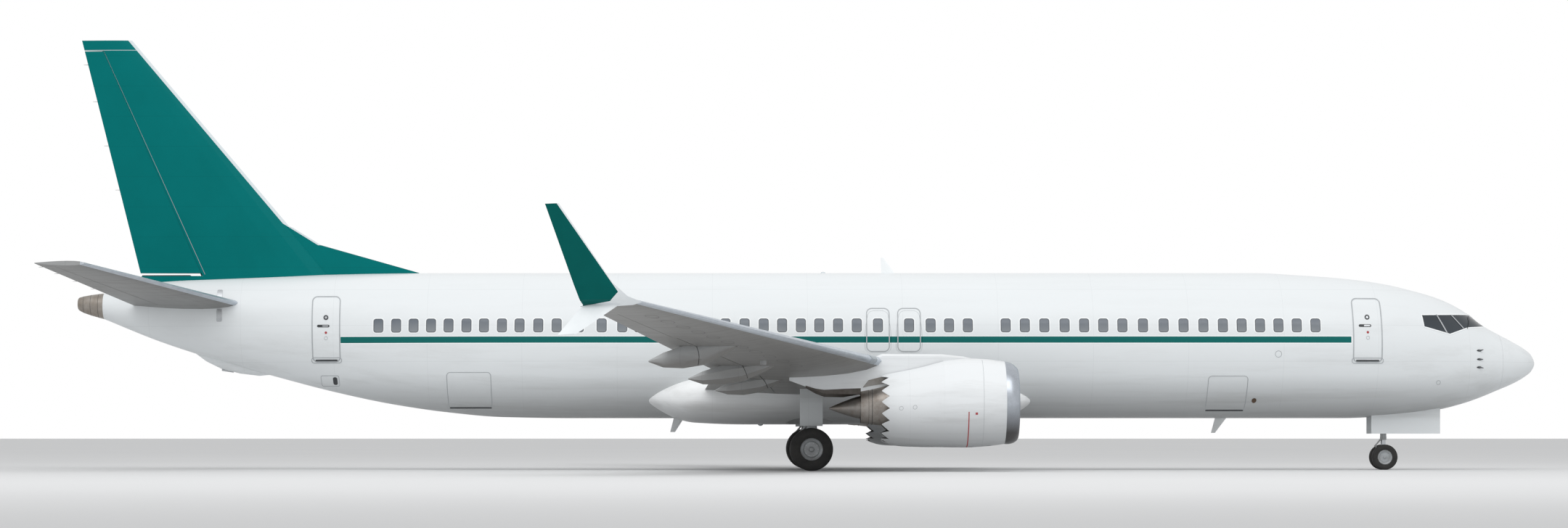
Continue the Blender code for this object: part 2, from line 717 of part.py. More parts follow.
def fan_blades(name, centre):
    """Twisted plates of a diamond section, one for each blade."""
    points, faces = [], []
    for k in range(FAN_BLADES):
        turn = Matrix.Rotation(2 * math.pi * k / FAN_BLADES, 3, "X")
        first = len(points)
        for r, half_chord, angle in BLADE_SECTIONS:
            a = math.radians(angle)
            along = Vector((math.cos(a), math.sin(a), 0)) * half_chord
            flat = Vector((-math.sin(a), math.cos(a), 0)) * BLADE_HALF_THICK
            for corner in (-along, flat, along, -flat):
                points.append(centre + turn @ (corner + Vector((0, 0, r))))
        for level in range(len(BLADE_SECTIONS) - 1):
            low = first + 4 * level
            for c in range(4):
                n = (c + 1) % 4
                faces.append((low + c, low + n, low + 4 + n, low + 4 + c))
        faces.append(tuple(first + c for c in range(4)))
        faces.append(tuple(len(points) - 4 + c for c in range(4)))
    return solid(name, points, faces)


for side, tag in SIDES:
    centre = at(0, side * ENGINE_Y, ENGINE_H)
    turned(f"inlet_lip_{tag}", INLET_LIP, centre, AFT, STEPS_NACELLE, POLISHED, closed=True)
    turned(f"fan_cowl_{tag}", FAN_COWL, centre, AFT, STEPS_NACELLE, WHITE, closed=True)
    name = f"reverser_sleeve_{tag}"
    sleeve = turned(name, SLEEVE, centre, AFT, STEPS_NACELLE, WHITE, closed=True, tooth=CHEVRON_DEPTH)
    slot = box(
        f"sleeve_slot_{tag}",
        at(18.6, side * ENGINE_Y - SLOT_HALF, ENGINE_H + 0.5),
        at(16.0, side * ENGINE_Y + SLOT_HALF, ENGINE_H + 1.5),
    )
    cut(sleeve, slot)
    set_origin(sleeve, at(SLEEVE_S, side * ENGINE_Y, ENGINE_H))
    core = turned(f"engine_core_{tag}", CORE, centre, AFT, STEPS_NACELLE, HOT_METAL)
    for k in range(VANES):
        # A vane stands at the middle of one flat of the cowl's inner wall.
        a = 2 * math.pi * (3 * k + 1) / STEPS_NACELLE
        tip = VANE_TIP_R * math.cos(math.pi / STEPS_NACELLE) - GAP
        low = Vector((-VANE_HALF_CHORD, -VANE_HALF_THICK, VANE_ROOT_R))
        vane = box(f"vane_{k}_{tag}", low, Vector((VANE_HALF_CHORD, VANE_HALF_THICK, tip)))
        vane.data.transform(Matrix.Rotation(a, 4, "X"))
        vane.data.transform(Matrix.Translation(at(VANE_S, side * ENGINE_Y, ENGINE_H)))
        fuse(core, vane)
    fan = turned(f"fan_{tag}", FAN_HUB, centre, AFT, 18, TITANIUM)
    hub_centre = at(FAN_S, side * ENGINE_Y, ENGINE_H)
    fuse(fan, fan_blades(f"blades_{tag}", hub_centre))
    set_origin(fan, hub_centre)

# Pylons: station, bottom height, top height, half width
PYLON = (
    (15.30, 1.36, 1.46, 0.03),
    (15.80, 1.30, 1.57, 0.11),
    (16.355, 1.20, 1.63, 0.17),
    (16.36, 0.80, 1.63, 0.17),
    (17.90, 0.75, 1.64, 0.17),
    (18.50, 0.60, 1.40, 0.17),
    (19.40, 0.62, 1.35, 0.14),
    (20.30, 0.95, 1.35, 0.04),
)
PYLON_TRIM = 0.35
COWL_CLEARANCE, CORE_CLEARANCE = 0.002, 0.0008


def shifted_wing(name, side, move):
    """The plain wing a hair out of place, which cuts a piece back to where it stands clear."""
    wing = blade(name, WING, on_wing(side))
    wing.location = move
    return wing


for side, tag in SIDES:
    centre = at(0, side * ENGINE_Y, ENGINE_H)
    rings = []
    for s, bottom, top, half in PYLON:
        trim = PYLON_TRIM * half
        right = [(half - trim, top), (half, top - trim), (half, bottom)]
        left = [(-y, h) for y, h in reversed(right)]
        rings.append([at(s, side * ENGINE_Y + y, h) for y, h in left + right])
    pylon = ring_loft(f"pylon_{tag}", rings, WHITE)
    for number, move in enumerate(((0, 0, -GAP), (0, 0, GAP), (2 * GAP, 0, 0))):
        cut(pylon, shifted_wing(f"pylon_seat_{number}_{tag}", side, move))
    cowl_rows = [(14.76, 0.6, 0)]
    cowl_rows += [(s, r + COWL_CLEARANCE, drop) for s, r, drop in FAN_COWL[1:4]]
    cowl_rows += [(SLEEVE_S, 1.15, 0), (SLEEVE_S, 0.6, 0)]
    core_rows = [(s, r + CORE_CLEARANCE, drop) for s, r, drop in CORE[2:8]]
    cut(pylon, turned(f"cowl_envelope_{tag}", cowl_rows, centre, AFT, STEPS_NACELLE))
    cut(pylon, turned(f"core_envelope_{tag}", core_rows, centre, AFT, STEPS_NACELLE))


# Landing gear. Each pair of wheels: tag, station, lateral place, tyre radius, half spacing, half width,
# rim radius and axle radius
ACROSS = Vector((0, 1, 0))
WHEEL_STEPS = 20
WHEEL_SETS = (
    ("nose", NOSE_GEAR_S, 0.0, NOSE_TYRE_R, 0.20, 0.099, 0.19, 0.045),
    ("main_left", MAIN_GEAR_S, MAIN_GEAR_Y, MAIN_TYRE_R, 0.43, 0.20, 0.28, 0.075),
    ("main_right", MAIN_GEAR_S, -MAIN_GEAR_Y, MAIN_TYRE_R, 0.43, 0.20, 0.28, 0.075),
)


def tyre_profile(r, half_width, rim_r):
    """The tread's flats, not its corners, lie at the tyre's radius."""
    tread = r / math.cos(math.pi / WHEEL_STEPS)
    half = (
        (0.5, tread),
        (0.86, tread - 0.12 * half_width),
        (1.0, tread - 0.55 * half_width),
        (0.80, rim_r + 2 * GAP),
    )
    one = [(share * half_width, radius, 0.0) for share, radius in half]
    return [(-along, radius, 0.0) for along, radius, drop in reversed(one)] + one


def hub_profile(spacing, half_width, rim_r, axle_r):
    """Two dished wheels on one axle, listed from one side to the other."""
    one = (
        (0.80, axle_r * 1.6),
        (0.50, rim_r * 0.72),
        (0.80, rim_r),
        (-0.80, rim_r),
        (-0.50, rim_r * 0.72),
        (-0.50, axle_r),
    )
    outer = [(spacing + share * half_width, r, 0.0) for share, r in one]
    inner = [(-along, r, 0.0) for along, r, drop in reversed(outer)]
    return [(outer[0][0], 0.01, 0.0)] + outer + inner + [(inner[-1][0], 0.01, 0.0)]


for tag, s, y, r, spacing, half_width, rim_r, axle_r in WHEEL_SETS:
    axle = at(s, y, r - KEEL_Z)
    profile = hub_profile(spacing, half_width, rim_r, axle_r)
    wheels = turned(f"{tag}_wheels", profile, axle, ACROSS, WHEEL_STEPS, GEAR_PAINT)
    set_origin(wheels, axle)
    for where, offset in (("outer", spacing), ("inner", -spacing)):
        tyre = turned(
            f"{tag}_tyre_{where}",
            tyre_profile(r, half_width, rim_r),
            axle + ACROSS * offset,
            ACROSS,
            WHEEL_STEPS,
            TYRE,
            closed=True,
        )
        set_origin(tyre, axle)


def axle_eye(name, axle, half_width, r_outer, r_axle):
    """A bearing whose flats stand just clear of the turning axle's corners."""
    r_bore = (r_axle + GAP) / math.cos(math.pi / WHEEL_STEPS)
    ends = ((-half_width, r_outer), (half_width, r_outer), (half_width, r_bore), (-half_width, r_bore))
    profile = [(along, r, 0.0) for along, r in ends]
    return turned(name, profile, axle, ACROSS, WHEEL_STEPS, closed=True, phase=0.0)


# Nose gear: a fixed outer leg with its drag strut, and a steered lower leg
STEER_Z = 0.92
NOSE_LEG_R, NOSE_STRUT_R, NOSE_PISTON_R = 0.085, 0.045, 0.065
NOSE_STRUT_S = 3.05
NOSE_EYE_HALF, NOSE_EYE_R, NOSE_AXLE_R = 0.075, 0.085, 0.045
NOSE_DOOR_Y, NOSE_DOOR_LOW, DOOR_HALF_THICK = 0.375, -0.42, 0.012
nose_top = at(NOSE_GEAR_S, 0, BAY_TOP + 0.1)
nose_steer = Vector((nose_top.x, 0, STEER_Z))
nose_leg = rod("nose_gear_leg", nose_top, nose_steer, NOSE_LEG_R, steps=20, material=GEAR_PAINT)
strut_top = at(NOSE_STRUT_S, 0, BAY_TOP + 0.1)
fuse(nose_leg, rod("nose_drag_strut", strut_top, nose_steer + Vector((0, 0, 0.14)), NOSE_STRUT_R, steps=12))
cut(nose_leg, box("bay_ceiling", at(5.0, -1.0, BAY_TOP - GAP), at(2.0, 1.0, BAY_TOP + 1.0)))
nose_axle = at(NOSE_GEAR_S, 0, NOSE_TYRE_R - KEEL_Z)
fork_top = nose_steer - Vector((0, 0, GAP))
fork_end = nose_axle + Vector((0, 0, 0.06))
nose_fork = rod("nose_gear_steered_leg", fork_top, fork_end, NOSE_PISTON_R, steps=20, material=GEAR_PAINT)
tow_low = nose_axle + Vector((-0.02, -0.05, 0.06))
tow_high = nose_axle + Vector((0.14, 0.05, 0.16))
fuse(nose_fork, box("tow_fitting", tow_low, tow_high))
fuse(nose_fork, axle_eye("nose_axle_eye", nose_axle, NOSE_EYE_HALF, NOSE_EYE_R, NOSE_AXLE_R))
set_origin(nose_fork, nose_steer)
for side, tag in SIDES:
    low = at(BAY_BACK - 0.02, side * NOSE_DOOR_Y - DOOR_HALF_THICK, NOSE_DOOR_LOW)
    high = at(BAY_FRONT + 0.02, side * NOSE_DOOR_Y + DOOR_HALF_THICK, 0.5)
    door = box(f"nose_gear_door_{tag}", low, high, WHITE)
    cut(door, hull_grown)

# Main gear legs with their side struts, and the door that each leg carries on its outer side
MAIN_LEG_R, MAIN_PISTON_R, SIDE_STRUT_R = 0.13, 0.09, 0.055
MAIN_EYE_HALF, MAIN_EYE_R, MAIN_AXLE_R = 0.12, 0.15, 0.075
MAIN_DOOR_Y, MAIN_DOOR_HALF_LENGTH, MAIN_DOOR_LOW = MAIN_GEAR_Y + 0.150, 0.30, -0.22
for side, tag in SIDES:
    axle = at(MAIN_GEAR_S, side * MAIN_GEAR_Y, MAIN_TYRE_R - KEEL_Z)
    top = Vector((axle.x, axle.y, KEEL_Z + 1.05))
    piston_top, piston_end = axle + Vector((0, 0, 0.60)), axle + Vector((0, 0, 0.10))
    strut_top, strut_end = axle + Vector((0, 0, 0.75)), at(MAIN_GEAR_S, side * 1.6, 0.62)
    leg_end = axle + Vector((0, 0, 0.55))
    leg = rod(f"main_gear_leg_{tag}", top, leg_end, MAIN_LEG_R, steps=20, material=GEAR_PAINT)
    fuse(leg, rod(f"main_piston_{tag}", piston_top, piston_end, MAIN_PISTON_R, steps=20))
    fuse(leg, axle_eye(f"main_axle_eye_{tag}", axle, MAIN_EYE_HALF, MAIN_EYE_R, MAIN_AXLE_R))
    fuse(leg, rod(f"side_strut_{tag}", strut_top, strut_end, SIDE_STRUT_R, steps=12))
    cut(leg, shifted_wing(f"leg_seat_{tag}", side, (0, 0, -GAP)), hull_grown, fairing_grown)
    low = at(MAIN_GEAR_S + MAIN_DOOR_HALF_LENGTH, side * MAIN_DOOR_Y - DOOR_HALF_THICK, MAIN_DOOR_LOW)
    high = at(MAIN_GEAR_S - MAIN_DOOR_HALF_LENGTH, side * MAIN_DOOR_Y + DOOR_HALF_THICK, 0.9)
    door = box(f"main_gear_door_{tag}", low, high, WHITE)
    cut(door, shifted_wing(f"door_seat_{tag}", side, (0, 0, -GAP)))
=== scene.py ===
import math

import bmesh
import bpy
import numpy as np
from mathutils import Matrix, Vector


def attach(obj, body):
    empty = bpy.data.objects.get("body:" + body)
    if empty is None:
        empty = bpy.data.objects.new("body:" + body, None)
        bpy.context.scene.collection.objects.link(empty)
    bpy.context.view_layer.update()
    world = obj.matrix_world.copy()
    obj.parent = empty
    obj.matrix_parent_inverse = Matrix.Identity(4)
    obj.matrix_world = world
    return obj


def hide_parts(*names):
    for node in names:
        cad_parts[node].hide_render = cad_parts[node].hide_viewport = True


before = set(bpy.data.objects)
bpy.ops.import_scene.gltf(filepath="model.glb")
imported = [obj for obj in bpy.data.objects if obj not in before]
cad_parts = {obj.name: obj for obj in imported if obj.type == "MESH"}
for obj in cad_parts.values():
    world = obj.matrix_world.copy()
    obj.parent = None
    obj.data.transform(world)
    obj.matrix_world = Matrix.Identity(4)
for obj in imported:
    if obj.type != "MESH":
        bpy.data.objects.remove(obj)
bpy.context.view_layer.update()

# The studio: the camera looks square at the right-hand side from a metre above the floor, 100 m
# away through a long lens, as a spotter's photograph is taken. A pale floor and one wide soft
# light above the aircraft stand in for open sky.
CAMERA_SPOT = (-2.176, -100.0, 0.937)
LENS_MM, SENSOR_MM = 84.55, 36.0
FRAME_SHIFT = (0.0370, 0.1093)
FLOOR_CORNERS = ((-600, -300, 0), (600, -300, 0), (600, 900, 0), (-600, 900, 0))
SOFTBOX_SIZE, SOFTBOX_SPOT, SOFTBOX_TILT = (70.0, 30.0), (0.0, -32.0, 38.0), 40
camera = bpy.data.objects.new("camera", bpy.data.cameras.new("camera"))
bpy.context.scene.collection.objects.link(camera)
camera.location = CAMERA_SPOT
camera.rotation_euler = (math.pi / 2, 0.0, 0.0)
camera.data.sensor_width, camera.data.lens = SENSOR_MM, LENS_MM
camera.data.shift_x, camera.data.shift_y = FRAME_SHIFT
camera.data.clip_end = 2000.0
bpy.context.scene.camera = camera
bpy.context.scene.view_settings.view_transform = "Standard"


def add(tree, kind, settings=None, links=None):
    """Adds one shader node. A link is a value, a node, or a (node, output name) pair."""
    made = tree.nodes.new("ShaderNode" + kind)
    for key, value in (settings or {}).items():
        setattr(made, key, value)
    for key, value in (links or {}).items():
        if isinstance(value, bpy.types.Node):
            value = next(out for out in value.outputs if out.enabled)
        elif isinstance(value, tuple) and isinstance(value[0], bpy.types.Node):
            value = value[0].outputs[value[1]]
        if isinstance(value, bpy.types.NodeSocket):
            tree.links.new(value, made.inputs[key])
        else:
            made.inputs[key].default_value = value
    return made


# A colour mix takes its share in input 0 and its two colours in inputs 6 and 7
COLOUR_MIX = {"data_type": "RGBA"}


def colour(hex_code):
    """An sRGB hex value as linear light."""
    parts = [int(hex_code[i : i + 2], 16) / 255 for i in (0, 2, 4)]
    return tuple(c / 12.92 if c <= 0.04045 else ((c + 0.055) / 1.055) ** 2.4 for c in parts) + (1.0,)


def new_finish(name, roughness, metallic=0.0, **sockets):
    """A material with its shader's own values set; returns it with its tree and shader."""
    material = bpy.data.materials.new(name)
    material.use_nodes = True
    shader = material.node_tree.nodes["Principled BSDF"]
    shader.inputs["Roughness"].default_value = roughness
    shader.inputs["Metallic"].default_value = metallic
    for key, value in sockets.items():
        shader.inputs[key.replace("_", " ")].default_value = value
    return material, material.node_tree, shader


# Matt floor paint, rolled on: pale, without any gloss, and faintly clouded over some 20 m
floor_finish, tree, shader = new_finish("pale_matt_floor", 0.9)
place = add(tree, "TexCoord")
cloud = add(tree, "TexNoise", {}, {"Vector": (place, "Object"), "Scale": 0.05, "Detail": 2.0})
tone = add(tree, "Mix", COLOUR_MIX, {0: (cloud, "Fac"), 6: colour("d4d5d6"), 7: colour("d9dadb")})
tree.links.new(tone.outputs[2], shader.inputs["Base Color"])
floor_mesh = bpy.data.meshes.new("floor")
floor_mesh.from_pydata(FLOOR_CORNERS, [], [(0, 1, 2, 3)])
floor = bpy.data.objects.new("floor", floor_mesh)
floor.data.materials.append(floor_finish)
bpy.context.scene.collection.objects.link(floor)

# The sky is white to the camera and a fifth weaker as a light, so that the shadows keep some depth
world = bpy.data.worlds.new("open_sky")
world.use_nodes = True
sky = world.node_tree.nodes["Background"]
sky.inputs["Color"].default_value = (1.0, 1.0, 1.0, 1.0)
seen = add(world.node_tree, "LightPath")
strength = {0: (seen, "Is Camera Ray"), 1: 0.0, 2: 1.0, 3: 0.80, 4: 1.0}
level = add(world.node_tree, "MapRange", {}, strength)
world.node_tree.links.new(level.outputs[0], sky.inputs["Strength"])
bpy.context.scene.world = world
softbox = bpy.data.objects.new("softbox", bpy.data.lights.new("softbox", "AREA"))
softbox.data.shape = "RECTANGLE"
softbox.data.size, softbox.data.size_y = SOFTBOX_SIZE
softbox.data.energy = 10500.0
softbox.location = SOFTBOX_SPOT
softbox.rotation_euler = (math.radians(SOFTBOX_TILT), 0.0, 0.0)
bpy.context.scene.collection.objects.link(softbox)

# Body skin: aluminium sheet riveted over frames 0.5 m apart and sprayed with white polyurethane
# enamel, with a teal cheat line between the cabin doors. The pressure hull is two half ellipses
# that meet at the floor line; it is drawn here rounder than the solid, from the same stations.
NOSE_X, KEEL_Z = 19.76, 1.40
# Station aft of the nose, then heights over the keel line of the crown and the keel, the half
# width, and the height at which the body is widest
HULL = (
    (0.00, 1.53, 1.43, 0.05, 1.48),
    (0.06, 1.68, 1.30, 0.20, 1.48),
    (0.25, 1.86, 1.13, 0.42, 1.48),
    (0.60, 2.07, 0.93, 0.67, 1.49),
    (1.02, 2.29, 0.75, 0.90, 1.50),
    (1.50, 2.56, 0.55, 1.11, 1.54),
    (1.90, 2.88, 0.41, 1.25, 1.60),
    (2.60, 3.24, 0.23, 1.45, 1.72),
    (3.40, 3.48, 0.11, 1.62, 1.83),
    (4.20, 3.66, 0.04, 1.74, 1.92),
    (5.20, 3.79, 0.0, 1.82, 2.00),
    (6.40, 3.88, 0.0, 1.87, 2.05),
    (7.60, 3.94, 0.0, 1.88, 2.06),
    (26.0, 3.94, 0.0, 1.88, 2.06),
    (28.0, 3.94, 0.03, 1.83, 2.10),
    (29.5, 3.94, 0.16, 1.73, 2.18),
    (31.0, 3.93, 0.38, 1.57, 2.29),
    (32.6, 3.90, 0.72, 1.36, 2.44),
    (34.2, 3.85, 1.14, 1.10, 2.60),
    (35.7, 3.79, 1.56, 0.85, 2.76),
    (37.3, 3.70, 2.08, 0.58, 2.94),
    (38.81, 3.39, 2.69, 0.35, 3.04),
)
HULL_END, RADOME_SEAM = 38.81, (1.0185, 1.0215)
NOSE_RINGS, HULL_AROUND = [0.03, 0.1, 0.17, 0.35, 0.45], 128
CREASE = math.radians(32.0)
SIDES = ((1, "left"), (-1, "right"))


def at(s, y, h):
    """A point from its station aft of the nose, its side place and its height over the keel."""
    return Vector((NOSE_X - s, y, KEEL_Z + h))


def read_off(rows, places):
    """Rows of a table at other places, along curves that pass every row and never overshoot."""
    table = np.array(rows, float)
    x, v = table[:, 0], table[:, 1:]
    step = np.diff(x)[:, None]
    slope = np.diff(v, axis=0) / step
    tangent = np.zeros_like(v)
    tangent[0], tangent[-1] = slope[0], slope[-1]
    a, b = slope[:-1], slope[1:]
    wa, wb = 2 * step[1:] + step[:-1], step[1:] + 2 * step[:-1]
    same = a * b > 0
    safe_a, safe_b = np.where(same, a, 1.0), np.where(same, b, 1.0)
    tangent[1:-1] = np.where(same, (wa + wb) / (wa / safe_a + wb / safe_b), 0.0)
    p = np.asarray(places, float)
    k = np.clip(np.searchsorted(x, p, side="right") - 1, 0, len(x) - 2)
    h = step[k]
    u = ((p - x[k]) / h[:, 0])[:, None]
    shape = (2 * u**3 - 3 * u**2 + 1) * v[k] + (u**3 - 2 * u**2 + u) * h * tangent[k]
    shape += (3 * u**2 - 2 * u**3) * v[k + 1] + (u**3 - u**2) * h * tangent[k + 1]
    return np.column_stack([p, shape])


def skin_of(rings, closed=False):
    """Points and faces of a skin over rings of equal count, capped unless the last meets the first."""
    count = len(rings[0])
    points = [tuple(p) for ring in rings for p in ring]
    faces = []
    for a in range(len(rings) - (0 if closed else 1)):
        b = (a + 1) % len(rings)
        for k in range(count):
            n = (k + 1) % count
            faces.append((a * count + k, a * count + n, b * count + n, b * count + k))
    if not closed:
        faces.append(tuple(range(count)))
        faces.append(tuple(range((len(rings) - 1) * count, len(rings) * count)))
    return points, faces


def make(name, parts, material, body=None):
    """One object from lists of points and faces; it rides on its body when one is named."""
    points, faces = [], []
    for part_points, part_faces in parts:
        first = len(points)
        points += [tuple(p) for p in part_points]
        faces += [tuple(first + i for i in face) for face in part_faces]
    mesh = bpy.data.meshes.new(name)
    mesh.from_pydata(points, [], faces)
    work = bmesh.new()
    work.from_mesh(mesh)
    bmesh.ops.recalc_face_normals(work, faces=work.faces)
    work.to_mesh(mesh)
    work.free()
    mesh.shade_smooth()
    mesh.set_sharp_from_angle(angle=CREASE)
    mesh.materials.append(material)
    made = bpy.data.objects.new(name, mesh)
    bpy.context.scene.collection.objects.link(made)
    if body:
        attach(made, body)
    return made


def carve(target, tool, operation):
    """Cuts or keeps part of a mesh at once, and drops the tool."""
    step = target.modifiers.new("carve", "BOOLEAN")
    step.operation, step.solver, step.object = operation, "EXACT", tool
    step.material_mode = "TRANSFER"
    bpy.context.view_layer.update()
    cut = target.evaluated_get(bpy.context.evaluated_depsgraph_get())
    shaped = bpy.data.meshes.new_from_object(cut)
    target.modifiers.clear()
    target.data = shaped
    shaped.shade_smooth()
    shaped.set_sharp_from_angle(angle=CREASE)
    bpy.data.objects.remove(tool)


def hull_side(s, h, side, lift=0.0):
    """The point of the skin at a station and height, lifted off it by a few millimetres."""
    crown, keel, half, widest = read_off(HULL, [s])[0, 1:]
    rise = crown - widest if h > widest else widest - keel
    part = max(-1.0, min(1.0, (h - widest) / rise))
    y = half * math.sqrt(1 - part * part)
    out = Vector((0, y / half**2, part / rise)).normalized()
    return at(s, side * (y + lift * out.y), h + lift * out.z)


def hull_rings(first, last):
    """Rings of the body's skin between two stations, every 0.25 m and closer on the nose."""
    near = [first + (last - first) * k / 8 for k in range(9)] if last < 2 else []
    even = [0.25 * k for k in range(1, 160)]
    stations = sorted({round(s, 4) for s in near + [first, last] + even + NOSE_RINGS})
    rings = []
    for s, crown, keel, half, widest in read_off(HULL, [s for s in stations if first <= s <= last]):
        ring = []
        for k in range(HULL_AROUND):
            a = 2 * math.pi * k / HULL_AROUND
            rise = crown - widest if math.cos(a) > 0 else widest - keel
            ring.append(at(s, half * math.sin(a), widest + rise * math.cos(a)))
        rings.append(ring)
    return rings


def sheet_seams(tree, where, pitch, width):
    """Butt joints of the sheets, one every pitch metres along one coordinate, as a 0 to 1 mark."""
    phase = add(tree, "Math", {"operation": "PINGPONG"}, {0: where, 1: pitch / 2})
    return add(tree, "Math", {"operation": "LESS_THAN"}, {0: phase, 1: width / 2})


# The skin's sheets are 2.54 m long and 0.97 m deep. Their 1 mm butt joints are drawn 12 mm wide,
# so that they show. The teal line has a white edge 20 mm wide: heights, stations and colour
HOOP_PITCH, LAP_PITCH, JOINT = 2.54, 0.97, 0.012
CHEAT_LINES = ((3.386, 3.592, -12.52, 14.52, "fbfcfd"), (3.405, 3.573, -12.50, 14.50, "036561"))
# Grey of dirt and painted shade: none at the first height, its full share at the second, and that share
HULL_DIRT_AND_SHADE = (2.55, 1.40, 0.72)


def sprayed_enamel(name, base, grime, roughness, cheat_line=False, dirt_and_shade=HULL_DIRT_AND_SHADE):
    """Gloss enamel over sheet: faint joints, grime that streaks aft, and a grey of dirt and painted shade
    that deepens between two heights, from none to the last value."""
    material, tree, shader = new_finish(name, roughness, IOR=1.5)
    shader.inputs["Specular IOR Level"].default_value = 0.2
    place = add(tree, "TexCoord")
    xyz = add(tree, "SeparateXYZ", {}, {0: (place, "Object")})
    stretched = add(tree, "Mapping", {}, {"Vector": (place, "Object"), "Scale": (0.14, 1.6, 1.6)})
    grain = {"Vector": stretched, "Scale": 1.4, "Detail": 7.0, "Roughness": 0.62}
    streaks = add(tree, "TexNoise", {}, grain)
    marks = add(tree, "MapRange", {}, {0: (streaks, "Fac"), 1: 0.50, 2: 0.78, 3: 0.0, 4: 1.0})
    low = add(tree, "MapRange", {}, {0: (xyz, "Z"), 1: 4.2, 2: 1.4, 3: 0.15, 4: 1.0})
    dirt = add(tree, "Math", {"operation": "MULTIPLY"}, {0: marks, 1: low})
    dirt = add(tree, "Math", {"operation": "MULTIPLY"}, {0: dirt, 1: 0.32})
    tint = add(tree, "Mix", COLOUR_MIX, {0: dirt, 6: colour(base), 7: colour(grime)})
    # Painted shade with some dirt: the white greys between two heights towards the foot
    dirt_and_shade_share = add(tree, "MapRange", {}, {0: (xyz, "Z"), 1: dirt_and_shade[0], 2: dirt_and_shade[1], 3: 0.0, 4: dirt_and_shade[2]})
    tint = add(tree, "Mix", COLOUR_MIX, {0: dirt_and_shade_share, 6: tint, 7: colour("7a7a79")})
    hoops = sheet_seams(tree, (xyz, "X"), HOOP_PITCH, JOINT)
    laps = sheet_seams(tree, (xyz, "Z"), LAP_PITCH, JOINT)
    seams = add(tree, "Math", {"operation": "MAXIMUM"}, {0: hoops, 1: laps})
    faint = add(tree, "Math", {"operation": "MULTIPLY"}, {0: seams, 1: 0.10})
    tint = add(tree, "Mix", COLOUR_MIX, {0: faint, 6: tint, 7: colour("8d9396")})
    if cheat_line:
        for low_z, high_z, first_x, last_x, shade in CHEAT_LINES:
            mark = add(tree, "Math", {"operation": "GREATER_THAN"}, {0: (xyz, "Z"), 1: low_z})
            ends = (("GREATER_THAN", "X", first_x), ("LESS_THAN", "X", last_x))
            for operation, axis, limit in (("LESS_THAN", "Z", high_z),) + ends:
                inside = add(tree, "Math", {"operation": operation}, {0: (xyz, axis), 1: limit})
                mark = add(tree, "Math", {"operation": "MULTIPLY"}, {0: mark, 1: inside})
            tint = add(tree, "Mix", COLOUR_MIX, {0: mark, 6: tint, 7: colour(shade)})
    tree.links.new(tint.outputs[2], shader.inputs["Base Color"])
    dull = add(tree, "MapRange", {}, {0: dirt, 1: 0.0, 2: 0.6, 3: roughness, 4: roughness + 0.25})
    tree.links.new(dull.outputs[0], shader.inputs["Roughness"])
    ripple = add(tree, "TexNoise", {}, {"Vector": (place, "Object"), "Scale": 1.1, "Detail": 1.0})
    groove = add(tree, "Math", {"operation": "SUBTRACT"}, {0: (ripple, "Fac"), 1: seams})
    bump = add(tree, "Bump", {}, {"Strength": 0.12, "Distance": 0.008, "Height": groove})
    tree.links.new(bump.outputs[0], shader.inputs["Normal"])
    return material


# White polyurethane enamel, sprayed and polished: an even, bright white with a soft broad gloss,
# whose joints and streaks of grime show only close up, and which turns grey towards the keel with
# dirt and painted shade
WHITE_ENAMEL = sprayed_enamel("white_polyurethane_enamel", "e4e8ea", "8f8c86", 0.28, cheat_line=True)
body_skin = skin_of(hull_rings(RADOME_SEAM[1], HULL_END))
fuselage = make("fuselage_skin", [body_skin], WHITE_ENAMEL, "airframe")
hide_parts("fuselage")
nose_skin = skin_of(hull_rings(0.0, RADOME_SEAM[0]))
radome = make("radome_skin", [nose_skin], WHITE_ENAMEL, "airframe")
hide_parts("radome")

# Doors and exits: plugs of the same riveted skin, each in its own pocket in the body, with a
# rubber seal round it. The exits swing up on a hinge at the top, and all other doors stay shut.
# Sizes are the fore and aft stations and the lowest and highest heights
CABIN_DOORS = ((4.43, 5.20, 1.49, 3.20), (32.28, 33.03, 1.51, 3.26))
HOLD_DOORS = ((7.99, 9.05, 0.20, 1.12), (28.22, 29.41, 0.27, 1.22))
EXITS = (("forward", (16.75, 17.36, 1.77, 2.93)), ("aft", (17.58, 18.19, 1.77, 2.93)))
DOOR_CORNER, EXIT_CORNER, HOLD_CORNER = 0.13, 0.14, 0.10
EXIT_FLARE = 0.6
GLAZING = ((3.30, 2.77), (1.78, 2.80), (1.40, 2.46), (2.00, 2.42), (2.54, 2.24), (3.26, 2.44))
GLAZING_START = 1.024
WELL_S, WELL_Y, WELL_R, WELL_H = 19.69, 0.86, 0.62, (-1.0, 0.42)
NOSE_BAY = ((2.60, -0.5), (4.50, -0.5), (4.50, 0.78), (2.60, 0.78))


def rounded(sizes, radius, inset=0.0):
    """The outline of a rounded opening, from its two stations and two heights."""
    steps = 6
    s0, s1, h0, h1 = sizes[0] + inset, sizes[1] - inset, sizes[2] + inset, sizes[3] - inset
    r = radius - inset
    outline = []
    top, foot = ((s1 - r, h1 - r, 0), (s0 + r, h1 - r, 90)), ((s0 + r, h0 + r, 180), (s1 - r, h0 + r, 270))
    for s, h, start in top + foot:
        for k in range(steps + 1):
            a = math.radians(start + 90 * k / steps)
            outline.append((s + r * math.cos(a), h + r * math.sin(a)))
    return outline


def plug(sizes, radius, side, inner, flare, inset):
    """A door-shaped plug that reaches out through the skin and widens outwards by its flare."""
    rings = []
    for y in (inner, 2.3):
        grow = flare * (y - 1.80)
        spread = (sizes[0] - grow, sizes[1] + grow, sizes[2] - grow, sizes[3] + grow)
        rings.append([at(s, side * y, h) for s, h in rounded(spread, radius, inset)])
    return skin_of(rings)


def slab(outline, y0=-2.0, y1=2.0):
    """A flat-sided block across the body from an outline of stations and heights."""
    return skin_of([[at(s, y, h) for s, h in outline] for y in (y0, y1)])


